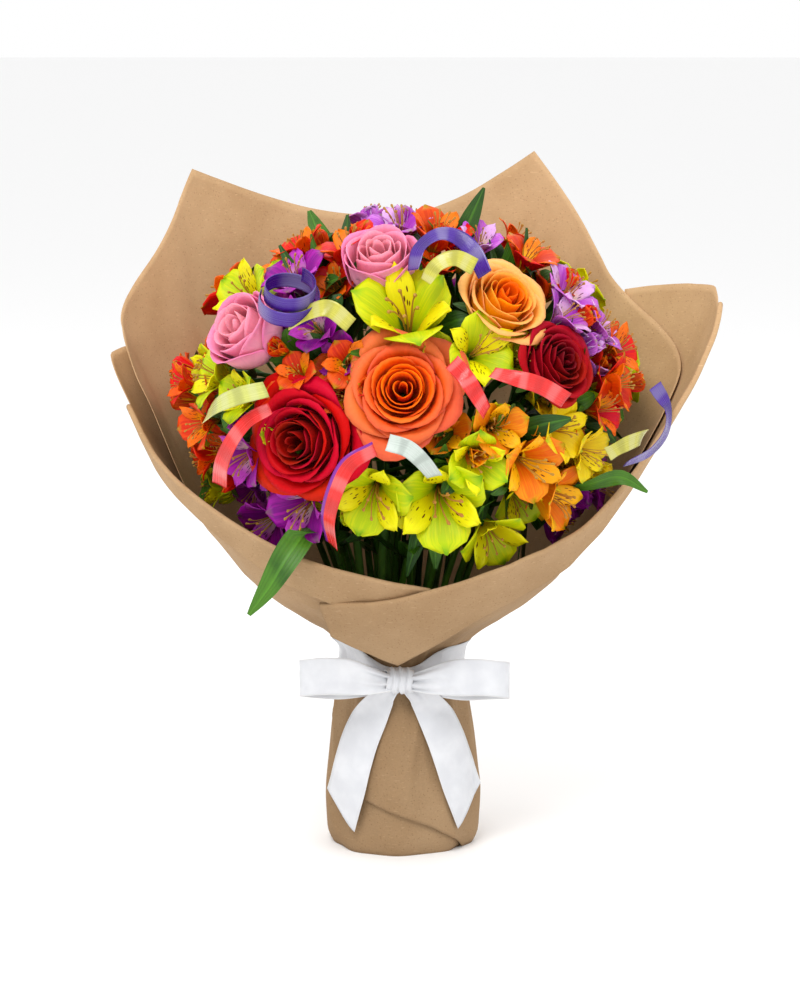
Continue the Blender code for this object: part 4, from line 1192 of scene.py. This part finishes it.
# %% The knot
def knot_shape(across, along):
    s = (across - 0.5) * 2
    turn = math.radians(-152 + 304 * along)
    pleat = 0.00055 * math.sin(s * 11 + math.sin(turn) * 1.2) + 0.0003 * math.sin(s * 23 + turn)
    deep = 0.0066 * (1 - 0.28 * s * s) + pleat
    tall = 0.0078 * (1 - 0.16 * s * s) + pleat
    return np.array([s * 0.0086 * (1 - 0.10 * math.cos(turn)) + AXIS_SHIFT[0] + 0.0006 * math.sin(turn * 2),
                     KNOT_Y - 0.0016 - deep * math.cos(turn) + AXIS_SHIFT[1],
                     WAIST + 0.0004 + tall * math.sin(turn)])


knot = grid("satin_knot_ribbon", 40, 34, knot_shape)
thicken(knot, SATIN_THICKNESS)
finish(knot, SATIN, ["satin_knot"])
print("knot made")

# %% [markdown]
# ## Curled ribbons
# Short lengths of shiny ribbon curl between the flowers. This ribbon is a plastic film about 10 mm
# wide with fine ribs along it, which catch the light. It is curled by drawing it over a blade.
# Light and dark bands along each curl are painted highlight and painted shade.

# %% Curling ribbon finishes
def curl_paint(name, colour, under):
    paint = Paint(name, Roughness=0.26, Coat_Weight=0.30, Coat_Roughness=0.15, Specular_IOR_Level=0.4)
    across, along = paint.across()
    flow, _, _ = paint.mark()
    ribs = paint.wave(across * 14)
    streak = paint.vector(across * 40, along * 1.5, flow * 9)
    streaks = paint.noise(1.0, streak, 2.0)
    pale = tuple(min(1, c * 1.3 + 0.008) for c in colour)
    base = paint.mix(paint.between(streaks, 0.35, 0.75) * 0.6, colour, pale)
    # Painted highlight and painted shade: light and dark bands along the ribbon stand in for the light on its
    # bends.
    painted_light_bands = paint.wave(along * 2.6 + 0.5 / math.tau)
    base = paint.mix(paint.between(painted_light_bands, 0.35, 1.0) * 0.45, base, tuple(c * 0.75 + 0.20 for c in colour))
    base = paint.mix(paint.between(painted_light_bands * -1.0, 0.1, 1.0) * 0.5, base, tuple(c * 0.55 for c in colour))
    base = paint.mix(paint.between(across, 0.80, 0.84) * flow, base, under)
    paint.set(Base_Color=base, Roughness=0.20 + streaks * 0.14,
              Normal=paint.bump(ribs * 0.6 + streaks * 0.6, 0.30, 0.0002))
    return paint


CURL_WIDTH = 0.010
# finish: the upper face, and the border that shows on one edge
CURL_COLOURS = {
    "curl_violet": ((0.048, 0.006, 0.23), (0.05, 0.005, 0.20)),
    "curl_lemon": ((0.46, 0.43, 0.05), (0.5, 0.45, 0.1)),
    "curl_cream": ((0.50, 0.52, 0.12), (0.5, 0.45, 0.2)),
    "curl_silver": ((0.46, 0.52, 0.47), (0.6, 0.6, 0.6)),
    "curl_red": ((0.70, 0.010, 0.008), (0.20, 0.008, 0.28)),
}
CURL_PAINTS = {name: curl_paint(name, *colours) for name, colours in CURL_COLOURS.items()}
# name: finish, 1 for a purple edge, twist at its two ends in degrees, then along the ribbon
# (round, down, height above the dome in mm)
CURLS = {
    "curl_violet_arc": ("curl_violet", 0, (-50, 60),
                        ((2, 47, 15), (4, 42, 21), (10, 40, 27), (16, 41, 27), (20, 45, 25), (22, 51, 21))),
    "curl_lemon_arc": ("curl_lemon", 0, (-40, 35),
                       ((5, 53, 22), (8, 50, 28), (13, 49, 31), (18, 51, 29))),
    "curl_red_left": ("curl_red", 0, (35, -25),
                      ((-31, 87, 17), (-35, 90, 23), (-39, 95, 25), (-44, 102, 23), (-50, 110, 17))),
    "curl_cream_left": ("curl_cream", 0, (-40, 30),
                        ((-50, 91, 17), (-43, 87, 25), (-36, 84, 29), (-30, 82, 28))),
    "curl_red_front": ("curl_red", 1, (-25, 30),
                       ((-7, 96, 18), (-12, 99, 26), (-15, 105, 29), (-18, 114, 27), (-20, 125, 21))),
    "curl_silver_front": ("curl_silver", 0, (-20, 30),
                          ((-4, 94, 22), (0, 95, 26), (3, 98, 26), (6, 103, 21))),
    "curl_red_right": ("curl_red", 0, (-40, 30),
                       ((19, 77, 18), (23, 79, 26), (28, 81, 29), (35, 85, 25))),
    "curl_coral": ("curl_red", 0, (25, -30),
                   ((10, 74, 19), (12, 78, 26), (14, 82, 27), (17, 87, 20))),
    "curl_lemon_coil": ("curl_lemon", 0, (-25, 25),
                        ((-28, 66, 24), (-23, 63, 27), (-18, 62, 28), (-13, 65, 22))),
    "curl_lemon_right": ("curl_lemon", 0, (-20, 30),
                         ((51, 101, 18), (54, 98, 24), (60, 97, 25), (66, 98, 19))),
    "curl_violet_right": ("curl_violet", 0, (40, -35),
                          ((74, 86, 18), (75, 92, 25), (71, 97, 28), (64, 101, 27), (58, 104, 21))),
}

# %% [markdown]
# Each curl is a strip that lies along its line, with its width across the line and its face turned
# away from the dome.

# %% The curls
def strip_along(name, slot, edge, path, sides, half=CURL_WIDTH / 2):
    """A ribbon along a path; sides gives its width direction at each point."""
    length = sum(np.linalg.norm(b - a) for a, b in zip(path, path[1:]))

    def shape(across, along):
        place = along * (len(path) - 1)
        i = min(int(place), len(path) - 2)
        share = place - i
        spot = path[i] * (1 - share) + path[i + 1] * share
        side = unit(sides[i] * (1 - share) + sides[i + 1] * share)
        way = unit(path[i + 1] - path[i])
        up = unit(np.cross(side, way))
        s = (across - 0.5) * 2
        return spot + side * (s * half) + up * (0.0004 * s * s)

    made = grid(name, 8, 56, shape, (edge, 0, 0))
    thicken(made, FILM_THICKNESS)
    solid = name.replace("_ribbon", "")
    finish(made, CURL_PAINTS[slot], [solid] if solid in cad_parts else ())
    return length


for name, (slot, edge, twist, line) in CURLS.items():
    path = smooth_path([on_dome(*spot) for spot in line], 10)
    last, sides = len(path) - 1, []
    for i, spot in enumerate(path):
        way = unit(path[min(i + 1, last)] - path[max(i - 1, 0)])
        side = unit(np.cross(way, unit(spot - DOME_CENTRE)))
        turn = math.radians(np.interp(i, (0, last), twist))
        sides.append(side * math.cos(turn) + np.cross(way, side) * math.sin(turn))
    print(name, "length", round(strip_along(name + "_ribbon", slot, edge, path, sides), 3))

# %% [markdown]
# One violet curl at the upper left is wound nearly twice round.

# %% The coil
COIL_RADIUS, COIL_TURNS, COIL_RISE = 0.0165, 1.75, 0.014
centre = on_dome(-29, 59, 27)
axis = unit((0.10, -0.50, 0.86))
first = unit(np.cross(axis, (0, 0, 1)))
second = np.cross(axis, first)
path = []
for share in np.linspace(0, 1, 91):
    turn = math.tau * COIL_TURNS * share - 0.6
    reach = COIL_RADIUS * (1.12 - 0.30 * share)
    around = first * math.cos(turn) + second * math.sin(turn)
    path.append(centre + reach * around + axis * COIL_RISE * (share - 0.5))
length = strip_along("curl_violet_coil_ribbon", "curl_violet", 0, path, [axis] * len(path))
print("coil length", round(length, 3))

# %% [markdown]
# ## Camera, floor and light
# A plain pale floor that meets a pale world, and large soft lights.

# %% The studio
# place, size and power in watts of each soft light
LIGHTS = (((-0.5, -1.4, 1.9), 0.9, 27), ((1.3, -1.0, 1.2), 1.2, 4), ((0.1, 0.9, 1.7), 1.2, 7))
LIT_HEIGHT = 0.22                       # what the lights are turned to
CAMERA_TILT, CAMERA_DISTANCE, CAMERA_AIM = math.radians(10), 1.9, 0.215
VIEW_HEIGHT, SENSOR = 0.615, 24.0       # what the picture takes in at the bouquet, in m, and the sensor in mm


def studio():
    world = bpy.data.worlds.new("studio")
    bpy.context.scene.world = world
    world.use_nodes = True
    world.node_tree.nodes["Background"].inputs["Color"].default_value = (1.0, 1.0, 1.0, 1)
    world.node_tree.nodes["Background"].inputs["Strength"].default_value = 1.0
    deselect()
    bpy.ops.mesh.primitive_plane_add(size=30)
    floor = bpy.context.object
    floor.name = "floor"
    paint = Paint("floor", Roughness=0.9)
    paint.set(Base_Color=(0.93, 0.93, 0.93))
    floor.data.materials.append(paint.material)
    for spot, size, power in LIGHTS:
        light = bpy.data.lights.new("soft", "AREA")
        light.size, light.energy = size, power
        lamp = bpy.data.objects.new("soft", light)
        bpy.context.collection.objects.link(lamp)
        lamp.location = spot
        lamp.rotation_euler = (Vector((0, 0, LIT_HEIGHT)) - Vector(spot)).to_track_quat("-Z", "Y").to_euler()
    data = bpy.data.cameras.new("camera")
    camera = bpy.data.objects.new("camera", data)
    bpy.context.collection.objects.link(camera)
    back = Vector((0, -math.cos(CAMERA_TILT), math.sin(CAMERA_TILT)))
    camera.location = Vector((*AXIS_SHIFT, CAMERA_AIM)) + back * CAMERA_DISTANCE
    camera.rotation_euler = (math.radians(90) - CAMERA_TILT, 0, 0)
    data.sensor_fit, data.sensor_width, data.sensor_height = "VERTICAL", SENSOR, SENSOR
    data.lens = SENSOR * CAMERA_DISTANCE / VIEW_HEIGHT
    bpy.context.scene.camera = camera
    bpy.context.scene.view_settings.view_transform = "Standard"


studio()
